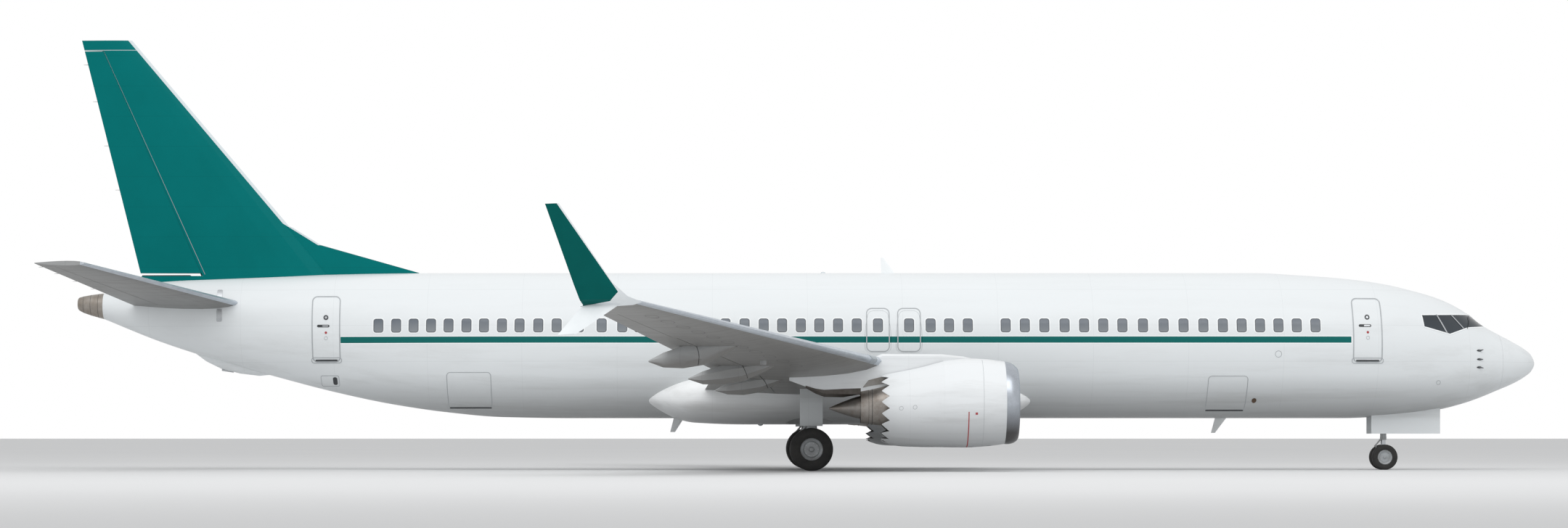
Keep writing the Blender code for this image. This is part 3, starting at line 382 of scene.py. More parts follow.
def shrunk(outline, inset):
    """An outline moved inwards on every side."""
    mid = Vector((sum(s for s, h in outline), sum(h for s, h in outline))) / len(outline)
    moved = []
    for index, point in enumerate(outline):
        here = Vector(point)
        normals = []
        for other in (Vector(outline[index - 1]), Vector(outline[(index + 1) % len(outline)])):
            along = (other - here).normalized()
            normal = Vector((-along.y, along.x))
            normals.append(normal if normal.dot(mid - here) > 0 else -normal)
        corner = normals[0] + normals[1]
        moved.append(tuple(here + corner * inset / (0.5 * corner.length_squared)))
    return moved


def wheel_well(side):
    """The round well that takes the main wheels of one side."""
    turn = [2 * math.pi * k / 48 for k in range(48)]
    rim = [(WELL_S + WELL_R * math.cos(a), side * WELL_Y + WELL_R * math.sin(a)) for a in turn]
    return skin_of([[at(s, y, h) for s, y in rim] for h in WELL_H])


pockets, plugs, exit_plugs = [], [], {}
for side, tag in SIDES:
    for sizes, inner in zip(CABIN_DOORS, (1.24, 0.75)):
        pockets.append(plug(sizes, DOOR_CORNER, side, inner - 0.004, 0.0, 0.0))
        plugs.append(plug(sizes, DOOR_CORNER, side, inner, 0.0, 0.010))
    for where, sizes in EXITS:
        pockets.append(plug(sizes, EXIT_CORNER, side, 1.596, EXIT_FLARE, 0.0))
        exit_plug = plug(sizes, EXIT_CORNER, side, 1.60, EXIT_FLARE, 0.008)
        exit_plugs[f"overwing_exit_{where}_{tag}"] = exit_plug
for sizes, inner in zip(HOLD_DOORS, (0.95, 0.85)):
    pockets.append(plug(sizes, HOLD_CORNER, -1, inner - 0.004, 0.0, 0.0))
    plugs.append(plug(sizes, HOLD_CORNER, -1, inner, 0.0, 0.010))
pockets.append(slab(GLAZING))
for side, tag in SIDES:
    pockets.append(wheel_well(side))
pockets.append(slab(NOSE_BAY, -0.36, 0.36))
carve(fuselage, make("pockets", pockets, WHITE_ENAMEL), "DIFFERENCE")
door_skin = skin_of(hull_rings(GLAZING_START, HULL_END))
doors = make("door_skins", [door_skin], WHITE_ENAMEL, "airframe")
carve(doors, make("plugs", plugs, WHITE_ENAMEL), "INTERSECT")
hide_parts("door_forward_left", "door_forward_right", "door_aft_left", "door_aft_right")
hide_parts("cargo_door_forward", "cargo_door_aft")
for name, exit_plug in exit_plugs.items():
    hatch = make(name + "_skin", [skin_of(hull_rings(15.0, 20.0))], WHITE_ENAMEL, name)
    carve(hatch, make("plug", [exit_plug], WHITE_ENAMEL), "INTERSECT")
    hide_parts(name)


def band(outline, width, side, lift=0.005):
    """A thin strip laid on the skin along a closed outline of stations and heights."""
    fine = []
    for (s0, h0), (s1, h1) in zip(outline, outline[1:] + outline[:1]):
        cells = max(1, int(math.hypot(s1 - s0, h1 - h0) / 0.06))
        fine += [(s0 + (s1 - s0) * k / cells, h0 + (h1 - h0) * k / cells) for k in range(cells)]
    outline = fine
    rings = []
    count = len(outline)
    for index in range(count):
        before, here, after = (Vector(outline[(index + step) % count]) for step in (-1, 0, 1))
        along = ((here - before).normalized() + (after - here).normalized()).normalized()
        across = Vector((-along.y, along.x)) * width / 2
        corners = ((here + across, -0.01), (here + across, lift), (here - across, lift), (here - across, -0.01))
        rings.append([hull_side(point.x, point.y, side, rise) for point, rise in corners])
    return skin_of(rings, closed=True)


def quads(rows, width):
    """The faces between rows of points that are each so many points wide."""
    cells = [(r, c) for r in range(rows) for c in range(width - 1)]
    return [(width * r + c, width * r + c + 1, width * (r + 1) + c + 1, width * (r + 1) + c) for r, c in cells]


def patch(outline, side, lift=0.004, rows=8):
    """A filled piece laid on the skin, cut into level strips so that it follows the curve."""
    low, high = min(h for s, h in outline), max(h for s, h in outline)
    rings = []
    for k in range(rows + 1):
        h = low + (high - low) * (0.5 - 0.5 * math.cos(math.pi * k / rows))
        h = min(max(h, low + 1e-4), high - 1e-4)
        crossings = []
        for (s0, h0), (s1, h1) in zip(outline, outline[1:] + outline[:1]):
            if (h0 > h) != (h1 > h):
                crossings.append(s0 + (s1 - s0) * (h - h0) / (h1 - h0))
        left, right = min(crossings), max(crossings)
        rings.append([hull_side(left + (right - left) * c / 3, h, side, lift) for c in range(4)])
    points = [p for ring in rings for p in ring]
    return points, quads(rows, 4)


def disc(s, h, r, steps=20):
    """The outline of a round mark."""
    turn = [2 * math.pi * k / steps for k in range(steps)]
    return [(s + r * math.cos(a), h + r * math.sin(a)) for a in turn]


def worn_metal(name, base, stain, roughness, grain=60.0, metallic=1.0, strength=0.35, low=None):
    """Bare or painted metal with a cloudy stain some 0.3 m across and a fine grain, given in cells a
    metre: rolled grain of 0.1 mm is drawn that coarse to show. Low gives two heights and the tone
    of a painted shade that darkens the foot."""
    material, tree, shader = new_finish(name, roughness, metallic)
    place = add(tree, "TexCoord")
    spots = {"Vector": (place, "Object"), "Scale": 3.5, "Detail": 6.0, "Roughness": 0.65}
    cloud = add(tree, "TexNoise", {}, spots)
    amount = add(tree, "MapRange", {}, {0: (cloud, "Fac"), 1: 0.38, 2: 0.72, 3: 0.0, 4: strength})
    tint = add(tree, "Mix", COLOUR_MIX, {0: amount, 6: colour(base), 7: colour(stain)})
    if low:
        xyz = add(tree, "SeparateXYZ", {}, {0: (place, "Object")})
        # Painted shade: the foot darkens towards the lower of the two heights
        foot = add(tree, "MapRange", {}, {0: (xyz, "Z"), 1: low[1], 2: low[0], 3: 0.0, 4: 1.0})
        tint = add(tree, "Mix", COLOUR_MIX, {0: foot, 6: tint, 7: colour(low[2])})
    tree.links.new(tint.outputs[2], shader.inputs["Base Color"])
    fine = add(tree, "TexNoise", {}, {"Vector": (place, "Object"), "Scale": grain, "Detail": 3.0})
    glossy, dull = max(roughness - 0.06, 0.03), roughness + 0.10
    rough = add(tree, "MapRange", {}, {0: (fine, "Fac"), 1: 0.3, 2: 0.7, 3: glossy, 4: dull})
    tree.links.new(rough.outputs[0], shader.inputs["Roughness"])
    bump = add(tree, "Bump", {}, {"Strength": 0.08, "Distance": 0.002, "Height": (fine, "Fac")})
    tree.links.new(bump.outputs[0], shader.inputs["Normal"])
    return material


def pane_with_painted_reflection(name, top, bottom, low_z, high_z, roughness):
    """Acrylic or glass: the painted shade of a dark inside, with a painted reflection of blue-grey sky above
    and a duller ground tone below.
    """
    material, tree, shader = new_finish(name, roughness, IOR=1.49)
    place = add(tree, "TexCoord")
    xyz = add(tree, "SeparateXYZ", {}, {0: (place, "Object")})
    # Painted reflection: the sky's tone above, the ground's tone below
    level = add(tree, "MapRange", {}, {0: (xyz, "Z"), 1: low_z, 2: high_z, 3: 0.0, 4: 1.0})
    cloud = add(tree, "TexNoise", {}, {"Vector": (place, "Object"), "Scale": 2.2, "Detail": 2.0})
    reflection_share = add(tree, "Math", {"operation": "MULTIPLY_ADD"}, {0: (cloud, "Fac"), 1: 0.5, 2: level})
    reflection_share = add(tree, "Math", {"operation": "SUBTRACT", "use_clamp": True}, {0: reflection_share, 1: 0.25})
    tint = add(tree, "Mix", COLOUR_MIX, {0: reflection_share, 6: colour(bottom), 7: colour(top)})
    tree.links.new(tint.outputs[2], shader.inputs["Base Color"])
    return material


# Cabin windows: stretched acrylic panes 250 x 350 mm in forged frames, one every 508 mm, with
# a pressed white surround. One place ahead of the wing has no window, and each exit has its own.
WINDOW_HALF, WINDOW_MID, WINDOW_CORNER = (0.125, 0.177), 2.468, 0.062
# Enamel on pressed sheet, a cleaner white than the body's: round each window it is a painted highlight, a
# bright rim
SURROUND = sprayed_enamel("white_window_surround", "f2f5f6", "b9bbbb", 0.3, dirt_and_shade=(2.0, 1.0, 0.3))
# A matt dark grey band round each pane: painted shade of the window's recess, which sets the pane back
WINDOW_RECESS_SHADE = worn_metal("painted_shade_window_reveal", "55595e", "3f4347", 0.5, metallic=0.0)
# Stretched acrylic, polished: a smooth slate grey gloss, the painted shade of the cabin, with a painted
# reflection a little paler at the foot
PANE = pane_with_painted_reflection("stretched_acrylic_pane", "616973", "868b8f", 3.70, 4.05, 0.12)
windows = (
    6.22, 6.72, 7.21, 7.70, 8.19, 8.69, 9.21, 9.74, 10.27, 10.82,
    11.37, 11.88, 12.39, 12.91, 13.45, 13.97, 14.48, 15.49, 15.99, 16.48,
    18.45, 18.95, 19.45, 19.94, 20.44, 20.93, 21.44, 21.95, 22.41, 22.87,
    23.33, 23.79, 24.25, 24.70, 25.25, 25.86, 26.45, 26.94, 27.44, 27.91,
    28.39, 28.86, 29.34, 29.81, 30.28, 30.75, 31.23,
)


def window(s, side):
    """A window's pane, its reveal dark with painted shade and its white surround bright with a painted
    highlight.
    """
    half, tall = WINDOW_HALF
    sizes = (s - half, s + half, WINDOW_MID - tall, WINDOW_MID + tall)
    outline = rounded(sizes, WINDOW_CORNER)
    outer = rounded(sizes, WINDOW_CORNER, inset=-0.024)
    return patch(outline, side, 0.004), band(outline, 0.016, side, 0.006), band(outer, 0.030, side, 0.004)


fixed, fixed_rims, fixed_frames = [], [], []
for side, tag in SIDES:
    for s in windows:
        pane, shaded_reveal, surround = window(s, side)
        fixed.append(pane)
        fixed_rims.append(shaded_reveal)
        fixed_frames.append(surround)
    for where, sizes in EXITS:
        pane, shaded_reveal, surround = window((sizes[0] + sizes[1]) / 2, side)
        body = f"overwing_exit_{where}_{tag}"
        make(f"{body}_pane", [pane], PANE, body)
        make(f"{body}_reveal", [shaded_reveal], WINDOW_RECESS_SHADE, body)
        make(f"{body}_surround", [surround], SURROUND, body)
make("cabin_window_panes", fixed, PANE, "airframe")
make("cabin_window_shaded_reveals", fixed_rims, WINDOW_RECESS_SHADE, "airframe")
make("cabin_window_surrounds", fixed_frames, SURROUND, "airframe")

# Door furniture: a grey seal line round every door and exit, a sill plate, a peep window and a
# flush lifting handle in a recess of painted shade in each cabin door, and a line of painted shade
# along the foot of each hold door.
HANDLE_H, PEEP_H, RED_MARK_H, VENT_H = (2.43, 2.50), 2.693, 2.287, 2.14
SERVICE_HATCH, HATCH_LATCH = (32.35, 32.85, 0.86, 1.14), (32.40, 32.52, 0.90, 1.10)
STATIC_PORT, NOSE_PORT, WATER_PORT = (7.21, 1.704), (2.84, 0.95), (7.77, 0.47)
# Silicone rubber, extruded: a matt grey line, dusty in places
SEAL = worn_metal("grey_door_seal", "b3b7ba", "8d9194", 0.55, metallic=0.0)
# Black rubber, and painted shade in recesses and gaps: nearly black, with hardly any gloss
BLACK_RUBBER_AND_PAINTED_SHADE = worn_metal("black_rubber_and_painted_recess_shade", "3d4043", "232527", 0.5, metallic=0.0)
# Stainless steel, brushed: a bright grey with a soft shine
STEEL = worn_metal("brushed_stainless", "c3c6c9", "8f9498", 0.28)
# Red marking paint, faded by the sun: a flat, slightly chalky red
MARKING_RED = worn_metal("faded_red_marking", "a83236", "a85658", 0.45, metallic=0.0)
seals, dark_bits, steel_bits, red_bits = [], [], [], []
for side, tag in SIDES:
    for sizes in CABIN_DOORS:
        s0, s1, h0, h1 = sizes
        mid = (s0 + s1) / 2
        seals.append(band(rounded(sizes, DOOR_CORNER), 0.030, side, 0.006))
        sill = rounded((s0 + 0.07, s1 - 0.07, h0 + 0.015, h0 + 0.060), 0.02)
        dark_bits.append(patch(sill, side, 0.008, 4))
        scuff_plate = rounded((s0 - 0.035, s1 + 0.035, h0 - 0.03, h0 + 0.11), 0.065)
        seals.append(band(scuff_plate, 0.016, side, 0.009))
        dark_bits.append(band(disc(mid, PEEP_H, 0.050), 0.032, side, 0.009))
        steel_bits.append(patch(disc(mid, PEEP_H, 0.034), side, 0.006, 4))
        low, high = HANDLE_H
        dark_bits.append(patch(rounded((mid - 0.10, mid + 0.24, low, high), 0.034), side, 0.006, 4))
        lever = rounded((mid - 0.07, mid + 0.10, low + 0.015, high - 0.015), 0.018)
        steel_bits.append(patch(lever, side, 0.010, 4))
        red_bits.append(patch(disc(mid, RED_MARK_H, 0.035, 8), side, 0.005, 4))
        seals.append(band(disc(mid, VENT_H, 0.045, 12), 0.010, side, 0.005))
    for where, sizes in EXITS:
        seals.append(band(rounded(sizes, EXIT_CORNER, inset=0.004), 0.026, side, 0.005))
for sizes in HOLD_DOORS:
    s0, s1, h0, h1 = sizes
    seals.append(band(rounded(sizes, HOLD_CORNER), 0.014, -1, 0.004))
    foot_gap = rounded((s0 + 0.02, s1 - 0.02, h0 - 0.010, h0 + 0.025), 0.015)
    dark_bits.append(patch(foot_gap, -1, 0.006, 4))
for side, tag in SIDES:
    seals.append(band(disc(*STATIC_PORT, 0.085), 0.014, side, 0.004))
    seals.append(band(rounded(SERVICE_HATCH, 0.05), 0.014, side, 0.004))
    dark_bits.append(patch(rounded(HATCH_LATCH, 0.03), side, 0.006, 4))
    seals.append(band(disc(*NOSE_PORT, 0.055, 16), 0.012, side, 0.004))
make("door_seals", seals, SEAL, "airframe")
make("door_dark_trim_and_painted_shade", dark_bits, BLACK_RUBBER_AND_PAINTED_SHADE, "airframe")
make("door_steel_fittings", steel_bits, STEEL, "airframe")
make("door_red_marks", red_bits, MARKING_RED, "airframe")
# Stainless port, stained by what it drains: a dull brown with a metallic sheen
PORT_BROWN = worn_metal("heat_stained_port", "6f5d50", "4b4038", 0.5)
ports = [patch(disc(*WATER_PORT, 0.065), side, 0.006, 5) for side, tag in SIDES]
make("water_service_ports", ports, PORT_BROWN, "airframe")

# Flight deck glazing: laminated glass panes, three a side, in a band round the nose, held by
# slim bare posts and a retainer strip, over a dark cockpit. A wiper lies along each windscreen.
# Posts run from a top to a foot, and wipers along a few points, in stations and heights
POSTS = (((2.869, 2.775), (2.616, 2.270)), ((2.438, 2.772), (2.127, 2.405)))
POST_HALF = 0.020
CENTRE_POST = ((-0.035, -0.03), (-0.03, 0.012), (0.03, 0.012), (0.035, -0.03))
WIPER = ((2.02, 2.40), (1.97, 2.47), (1.94, 2.54), (1.92, 2.61), (1.91, 2.68), (1.90, 2.74))


def bar(start, end, r0, r1=None, steps=12):
    """A round bar between two points."""
    r1 = r0 if r1 is None else r1
    along = (end - start).normalized()
    across = along.orthogonal().normalized()
    other = along.cross(across)
    turn = [2 * math.pi * k / steps for k in range(steps)]
    around = [across * math.cos(a) + other * math.sin(a) for a in turn]
    return skin_of([[centre + r * way for way in around] for centre, r in ((start, r0), (end, r1))])


# Laminated glass with a heating film: nearly black with the painted shade of the cockpit, with a sharp
# gloss and a painted reflection a little paler below
COCKPIT_GLASS = pane_with_painted_reflection("laminated_cockpit_glass", "2b3238", "3b4248", 3.6, 4.2, 0.06)
glass_skin = skin_of(hull_rings(GLAZING_START, 6.0))
glazing = make("glazing_panes", [glass_skin], COCKPIT_GLASS, "airframe")
carve(glazing, make("glazing_cut", [slab(shrunk(GLAZING, 0.004))], COCKPIT_GLASS), "INTERSECT")
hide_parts("flight_deck_glazing")
posts, retainers, wipers = [], [], []
for side, tag in SIDES:
    for (s0, h0), (s1, h1) in POSTS:
        outline = [(s0 - POST_HALF, h0), (s0 + POST_HALF, h0)]
        outline += [(s0 + POST_HALF + (s1 - s0) * k / 6, h0 + (h1 - h0) * k / 6) for k in range(1, 7)]
        outline += [(s1 - POST_HALF + (s0 - s1) * k / 6, h1 + (h0 - h1) * k / 6) for k in range(6)]
        posts.append(patch(outline, side, 0.012, 10))
    fine_outline = []
    for (s0, h0), (s1, h1) in zip(GLAZING, GLAZING[1:] + GLAZING[:1]):
        fine_outline += [(s0 + (s1 - s0) * k / 8, h0 + (h1 - h0) * k / 8) for k in range(8)]
    retainers.append(band(fine_outline, 0.030, side, 0.008))
    arm = [hull_side(s, h, side, 0.022) for s, h in WIPER]
    wipers += [bar(low, high, 0.009, steps=8) for low, high in zip(arm, arm[1:])]
centre_post = []
for s in (1.36, 1.46, 1.56, 1.66, 1.76, 1.84):
    crown = read_off(HULL, [s])[0, 1]
    centre_post.append([at(s, y, crown + rise) for y, rise in CENTRE_POST])
posts.append(skin_of(centre_post))
make("glazing_posts", posts, STEEL, "airframe")
make("glazing_retainers", retainers, SURROUND, "airframe")
make("windscreen_wipers", wipers, BLACK_RUBBER_AND_PAINTED_SHADE, "airframe")

# Air data probes: three heated probes of stainless tube a side behind the radome, which reach
# forward into clean air, each screwed down on an oval base plate. Heights and reach off the skin
PROBES, PROBE_FOOT, PROBE_TIP = ((1.81, 0.10), (1.576, 0.05), (1.362, 0.10)), 1.72, 1.62
# Stainless steel, browned by its heater: a dark grey with a soft shine
PROBE_STEEL = worn_metal("heated_probe_steel", "6a6d70", "4b4d50", 0.35)
probes, plates = [], []
for side, tag in SIDES:
    for h, reach in PROBES:
        foot = hull_side(PROBE_FOOT, h, side, -0.01)
        tip = hull_side(PROBE_TIP, h, side, reach)
        probes.append(bar(foot, tip, 0.024, 0.010))
        turn = [0.5 * k for k in range(12)]
        oval = [(PROBE_FOOT + 0.075 * math.cos(a), h + 0.03 * math.sin(a)) for a in turn]
        plates.append(patch(oval, side, 0.006, 4))
make("air_data_probes", probes, PROBE_STEEL, "airframe")
make("air_data_plates", plates, BLACK_RUBBER_AND_PAINTED_SHADE, "airframe")

# Blade antennas and lamp domes: swept blades moulded in glass fibre, one screwed on the crown and
# two on the keel, and a small clear dome over the flashing lamp above and below. Each blade is
# given at its foot and tip by its front, its back and its height
ANTENNAS = (
    ((17.35, 17.72, 3.93), (17.66, 17.74, 4.36)),
    ((8.35, 8.66, 0.01), (8.66, 8.77, -0.40)),
    ((23.04, 23.34, 0.06), (23.32, 23.45, -0.377)),
)
ANTENNA_SECTION = ((0.0, 0.0), (0.12, 0.75), (0.35, 1.0), (0.7, 0.6), (1.0, 0.1))
blades = []
for foot, tip in ANTENNAS:
    rings = []
    for share in (0.0, 0.35, 0.7, 1.0):
        front, back, h = (a + (b - a) * share for a, b in zip(foot, tip))
        half, chord = 0.020 * (1 - 0.6 * share), back - front
        ring = [at(front + x * chord, q * half, h) for x, q in ANTENNA_SECTION]
        ring += [at(front + x * chord, -q * half, h) for x, q in reversed(ANTENNA_SECTION[1:])]
        rings.append(ring)
    blades.append(skin_of(rings))
make("blade_antennas", blades, SURROUND, "airframe")
# Clear acrylic, moulded: a pale dome with a sharp gloss, whose tone is a painted reflection, greyer below
DOME_GLASS = pane_with_painted_reflection("clear_lamp_dome", "d2d8dc", "b9bfc4", 1.2, 5.4, 0.05)
DOME_R, DOME_RISE = 0.07, 0.045
domes = []
for s, h, up in ((19.3, 3.935, 1), (21.0, -0.165, -1)):
    rings = []
    for k in range(6):
        a = math.pi / 2 * k / 5.2
        turn = [2 * math.pi * j / 24 for j in range(24)]
        reach, level = DOME_R * math.cos(a), h + up * DOME_RISE * math.sin(a)
        rings.append([at(s + reach * math.cos(b), reach * math.sin(b), level) for b in turn])
    domes.append(skin_of(rings))
make("lamp_domes", domes, DOME_GLASS, "airframe")

# Tail bumper: a shallow sheet metal fairing under the rear body, sprayed with the skin, with a
# steel wear shoe bolted in its foot that touches the ground first. Its rows give the share of
# its length, its half width and its depth
BUMPER_START, BUMPER_LENGTH = 34.30, 2.05
BUMPER = (
    (0.0, 0.02, 0.01),
    (0.15, 0.13, 0.12),
    (0.4, 0.20, 0.20),
    (0.65, 0.19, 0.22),
    (0.85, 0.12, 0.14),
    (1.0, 0.02, 0.01),
)
rings = []
for share, wide, deep in BUMPER:
    s = BUMPER_START + BUMPER_LENGTH * share
    keel = read_off(HULL, [s])[0, 2]
    ring = []
    for k in range(20):
        a = 2 * math.pi * k / 20
        reach = 0.10 if math.cos(a) > 0 else deep
        ring.append(at(s, wide * math.sin(a), keel + 0.02 + reach * math.cos(a)))
    rings.append(ring)
make("tail_bumper", [skin_of(rings)], WHITE_ENAMEL, "airframe")
shoe_keel = read_off(HULL, [35.45])[0, 2]
shoe = bar(at(35.30, 0, shoe_keel - 0.20), at(35.62, 0, shoe_keel - 0.17), 0.05, 0.03, 16)
make("tail_bumper_shoe", [shoe], STEEL, "airframe")

# Wing-to-body fairing: glass-fibre panels screwed over the wing box and the wheel wells, rounded
# off at both ends. Its rows give the station, the half width and the heights of foot and top;
# its section is a square rounded by one power, and three small rings close each end
FAIRING = (
    (13.60, 1.10, 0.35, 0.80),
    (14.40, 1.62, 0.02, 1.02),
    (15.40, 1.92, -0.12, 1.45),
    (16.60, 2.02, -0.16, 1.62),
    (19.00, 2.04, -0.17, 1.62),
    (21.40, 2.02, -0.17, 1.50),
    (22.80, 1.90, -0.12, 1.30),
    (24.08, 1.20, 0.30, 0.90),
)
FAIRING_POWER = 2.5
FAIRING_ENDS = (
    (0, ((13.42, 0.75), (13.28, 0.42), (13.22, 0.15))),
    (-1, ((24.38, 0.76), (24.58, 0.46), (24.68, 0.16))),
)
# The same enamel over glass fibre, with no rivets beneath: smoother, and a shade whiter than the skin as
# painted light against the wing's shadow; low down it greys with dirt and painted shade
FAIRING_ENAMEL = sprayed_enamel("white_fairing_enamel_with_painted_light", "f3f5f6", "8f8c86", 0.30, dirt_and_shade=(1.95, 1.20, 0.62))
rings = []
for station, half, bottom, top in read_off(FAIRING, [13.60 + 10.48 * k / 60 for k in range(61)]):
    ring = []
    for k in range(96):
        a = 2 * math.pi * k / 96
        c, q = math.cos(a), math.sin(a)
        flat = (abs(c) ** FAIRING_POWER + abs(q) ** FAIRING_POWER) ** (-1 / FAIRING_POWER)
        ring.append(at(station, half * flat * q, (bottom + top) / 2 + (top - bottom) / 2 * flat * c))
    rings.append(ring)
for end, ends in FAIRING_ENDS:
    rim = rings[end]
    middle = sum(rim, Vector()) / len(rim)
    for station, share in ends:
        ring = [at(station, share * p.y, middle.z - KEEL_Z + share * (p.z - middle.z)) for p in rim]
        rings = [ring] + rings if end == 0 else rings + [ring]
fairing = make("belly_fairing_panels", [skin_of(rings)], FAIRING_ENAMEL, "airframe")
wells = make("wells", [wheel_well(side) for side, tag in SIDES], FAIRING_ENAMEL)
carve(fairing, wells, "DIFFERENCE")
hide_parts("belly_fairing")


def fairing_foot(s, y, lift):
    """A point of the fairing's underside, lifted off it."""
    half, bottom, top = read_off(FAIRING, [s])[0, 1:]
    depth = (top - bottom) / 2 * (1 - (abs(y) / half) ** FAIRING_POWER) ** (1 / FAIRING_POWER)
    return at(s, y, (bottom + top) / 2 - depth - lift)


# Air conditioning outlets: dark patches under the fairing, painted shade in their openings
outlets = []
for side, tag in SIDES:
    points = []
    for s in (17.50, 17.75, 18.00, 18.25):
        points += [fairing_foot(s, side * y, 0.004) for y in (0.95, 1.05, 1.15)]
    outlets.append((points, quads(3, 3)))
make("air_conditioning_outlets", outlets, BLACK_RUBBER_AND_PAINTED_SHADE, "airframe")

# Engine inlets: a lip of aluminium sheet on each, spun to shape, left bare and riveted to the
# front of the cowl. Engines are 4.83 m out on each side, 0.378 m over the keel line
ENGINE_Y, ENGINE_H = 4.83, 0.378
LIP_START, LIP_LENGTH, LIP_R = 14.40, 0.3497, 0.890
# Painted shade over the lip's foot: none at 1.75 m, full at 1.0 m, and its tone
LIP_PAINTED_SHADE = (1.0, 1.75, "5c5b5b")
# Aluminium, spun and polished, then weathered: a bright broad highlight above, and painted shade beneath
LIP_METAL = worn_metal("polished_aluminium_lip", "bdc3cb", "9da2a9", 0.30, 140.0, 1.0, 0.5, LIP_PAINTED_SHADE)
# Acoustic panel, perforated: a dull grey whose 1.5 mm holes are drawn as a grain of 5 mm
LINER = worn_metal("grey_acoustic_liner", "94979a", "6c6e70", 0.6, 220.0, 0.2)


def turned(rows, y=0.0, closed=False, steps=96, axis_h=0.0):
    """A body turned about a fore-and-aft axis, from rows of station, radius and drop of the centre."""
    turn = [2 * math.pi * k / steps for k in range(steps)]
    rings = []
    for s, r, drop in rows:
        rings.append([at(s, y + r * math.sin(a), axis_h - drop + r * math.cos(a)) for a in turn])
    return skin_of(rings, closed)


def curve_rows(rows, count):
    """Rows of station, radius and drop spread evenly along a smooth curve through a few of them."""
    return [tuple(row) for row in read_off(rows, np.linspace(rows[0][0], rows[-1][0], count))]


lip_rows = []
for k in range(-14, 15):
    t = (k / 14) ** 2
    outside = 0.178 * (1 - (1 - t) ** 2.2) ** 0.7
    inside = -0.045 * (1 - (1 - min(2 * t, 1)) ** 2) ** 0.6
    swell = outside if k > 0 else inside
    lip_rows.append((LIP_START + LIP_LENGTH * t, LIP_R + swell, 0.04 * (1 - t)))

# Fan cowls: two carbon-fibre doors on each engine, hinged on the pylon and latched along the
# bottom, white outside; the fan case behind them is lined with perforated acoustic panels. Rows
# of a turned skin are station, radius and how far its centre drops below the engine's axis
COWL_OUT = ((14.7503, 1.070, 0.0), (15.20, 1.125, 0.0), (15.70, 1.153, 0.003), (16.33, 1.120, 0.031))
COWL_IN = ((14.7503, 0.850, 0.0), (15.60, 0.892, 0.0), (15.85, 0.892, 0.0), (16.33, 0.930, 0.031))
COWL_END = 16.33
# Enamel over carbon fibre: a smooth gloss white, greyed along the foot by oil film dragged aft and painted
# shade
COWL_ENAMEL = sprayed_enamel("white_cowl_enamel", "e6e9eb", "84807a", 0.30, dirt_and_shade=(1.75, 0.60, 0.55))
# Sealant in the joints between the doors: a matt pale grey line
COWL_LINES = worn_metal("grey_cowl_seam", "b0b4b7", "92969a", 0.5, metallic=0.0)


def cowl_point(s, a, y, lift=0.0):
    """A point of the nacelle's outer skin at a station and an angle from the top."""
    rows = COWL_OUT if s < COWL_END else SLEEVE_OUT
    r, drop = read_off(rows, [min(max(s, rows[0][0]), rows[-1][0])])[0, 1:]
    return at(s, y + (r + lift) * math.sin(a), ENGINE_H - drop + (r + lift) * math.cos(a))


def cowl_strip(s0, s1, a0, a1, y, lift):
    """A thin strip on the nacelle between two stations and two angles in degrees."""
    cells = max(2, int(abs(a1 - a0) / 3))
    across = max(1, int((s1 - s0) / 0.1))
    rings = []
    for k in range(cells + 1):
        a = math.radians(a0 + (a1 - a0) * k / cells)
        rings.append([cowl_point(s0 + (s1 - s0) * c / across, a, y, lift) for c in range(across + 1)])
    return [p for ring in rings for p in ring], quads(cells, across + 1)


# Reverser sleeves: the rear half of each nacelle, moulded in carbon fibre, which slides aft on
# tracks beside the pylon. Its trailing edge is cut into eighteen chevrons, and the duct inside
# it is dark with soot and painted shade
SLEEVE_OUT = ((16.3303, 1.119, 0.031), (17.00, 1.028, 0.115), (17.60, 0.950, 0.155), (17.96, 0.855, 0.130))
SLEEVE_IN = ((16.3303, 0.930, 0.031), (17.30, 0.900, 0.100), (17.90, 0.835, 0.130), (17.96, 0.835, 0.130))
CHEVRONS, CHEVRON_TIP, CHEVRON_DEPTH, CHEVRON_STEPS = 18, 17.94, 0.20, 8
# Titanium and carbon duct wall under soot and painted shade: nearly black, dull
SHADOWED = worn_metal("sooted_and_shaded_duct_liner", "4b4a49", "2f2e2e", 0.6, 80.0, 0.3)


def sleeve_rings(rows, y, first, last, offset=0.0):
    """Rings whose aft ends follow the chevrons, from one share of the length to another."""
    around = CHEVRONS * CHEVRON_STEPS
    start = SLEEVE_OUT[0][0]
    rings = []
    for j in range(13):
        share = first + (last - first) * j / 12
        ring = []
        for k in range(around):
            wave = 2 * abs((k / CHEVRON_STEPS + 0.5) % 1.0 - 0.5)
            end = CHEVRON_TIP - CHEVRON_DEPTH * wave**1.15
            s = start + (end - start) * share
            r, drop = read_off(rows, [s])[0, 1:]
            r += offset
            a = 2 * math.pi * k / around
            ring.append(at(s, y + r * math.sin(a), ENGINE_H - drop + r * math.cos(a)))
        rings.append(ring)
    return rings


def box_between(low, high):
    """A block between two corners, for cutting."""
    spans = [(low[k], high[k]) for k in range(3)]
    corners = [Vector((x, y, z)) for x in spans[0] for y in spans[1] for z in spans[2]]
    return corners, [(0, 1, 3, 2), (4, 6, 7, 5), (0, 4, 5, 1), (2, 3, 7, 6), (0, 2, 6, 4), (1, 5, 7, 3)]


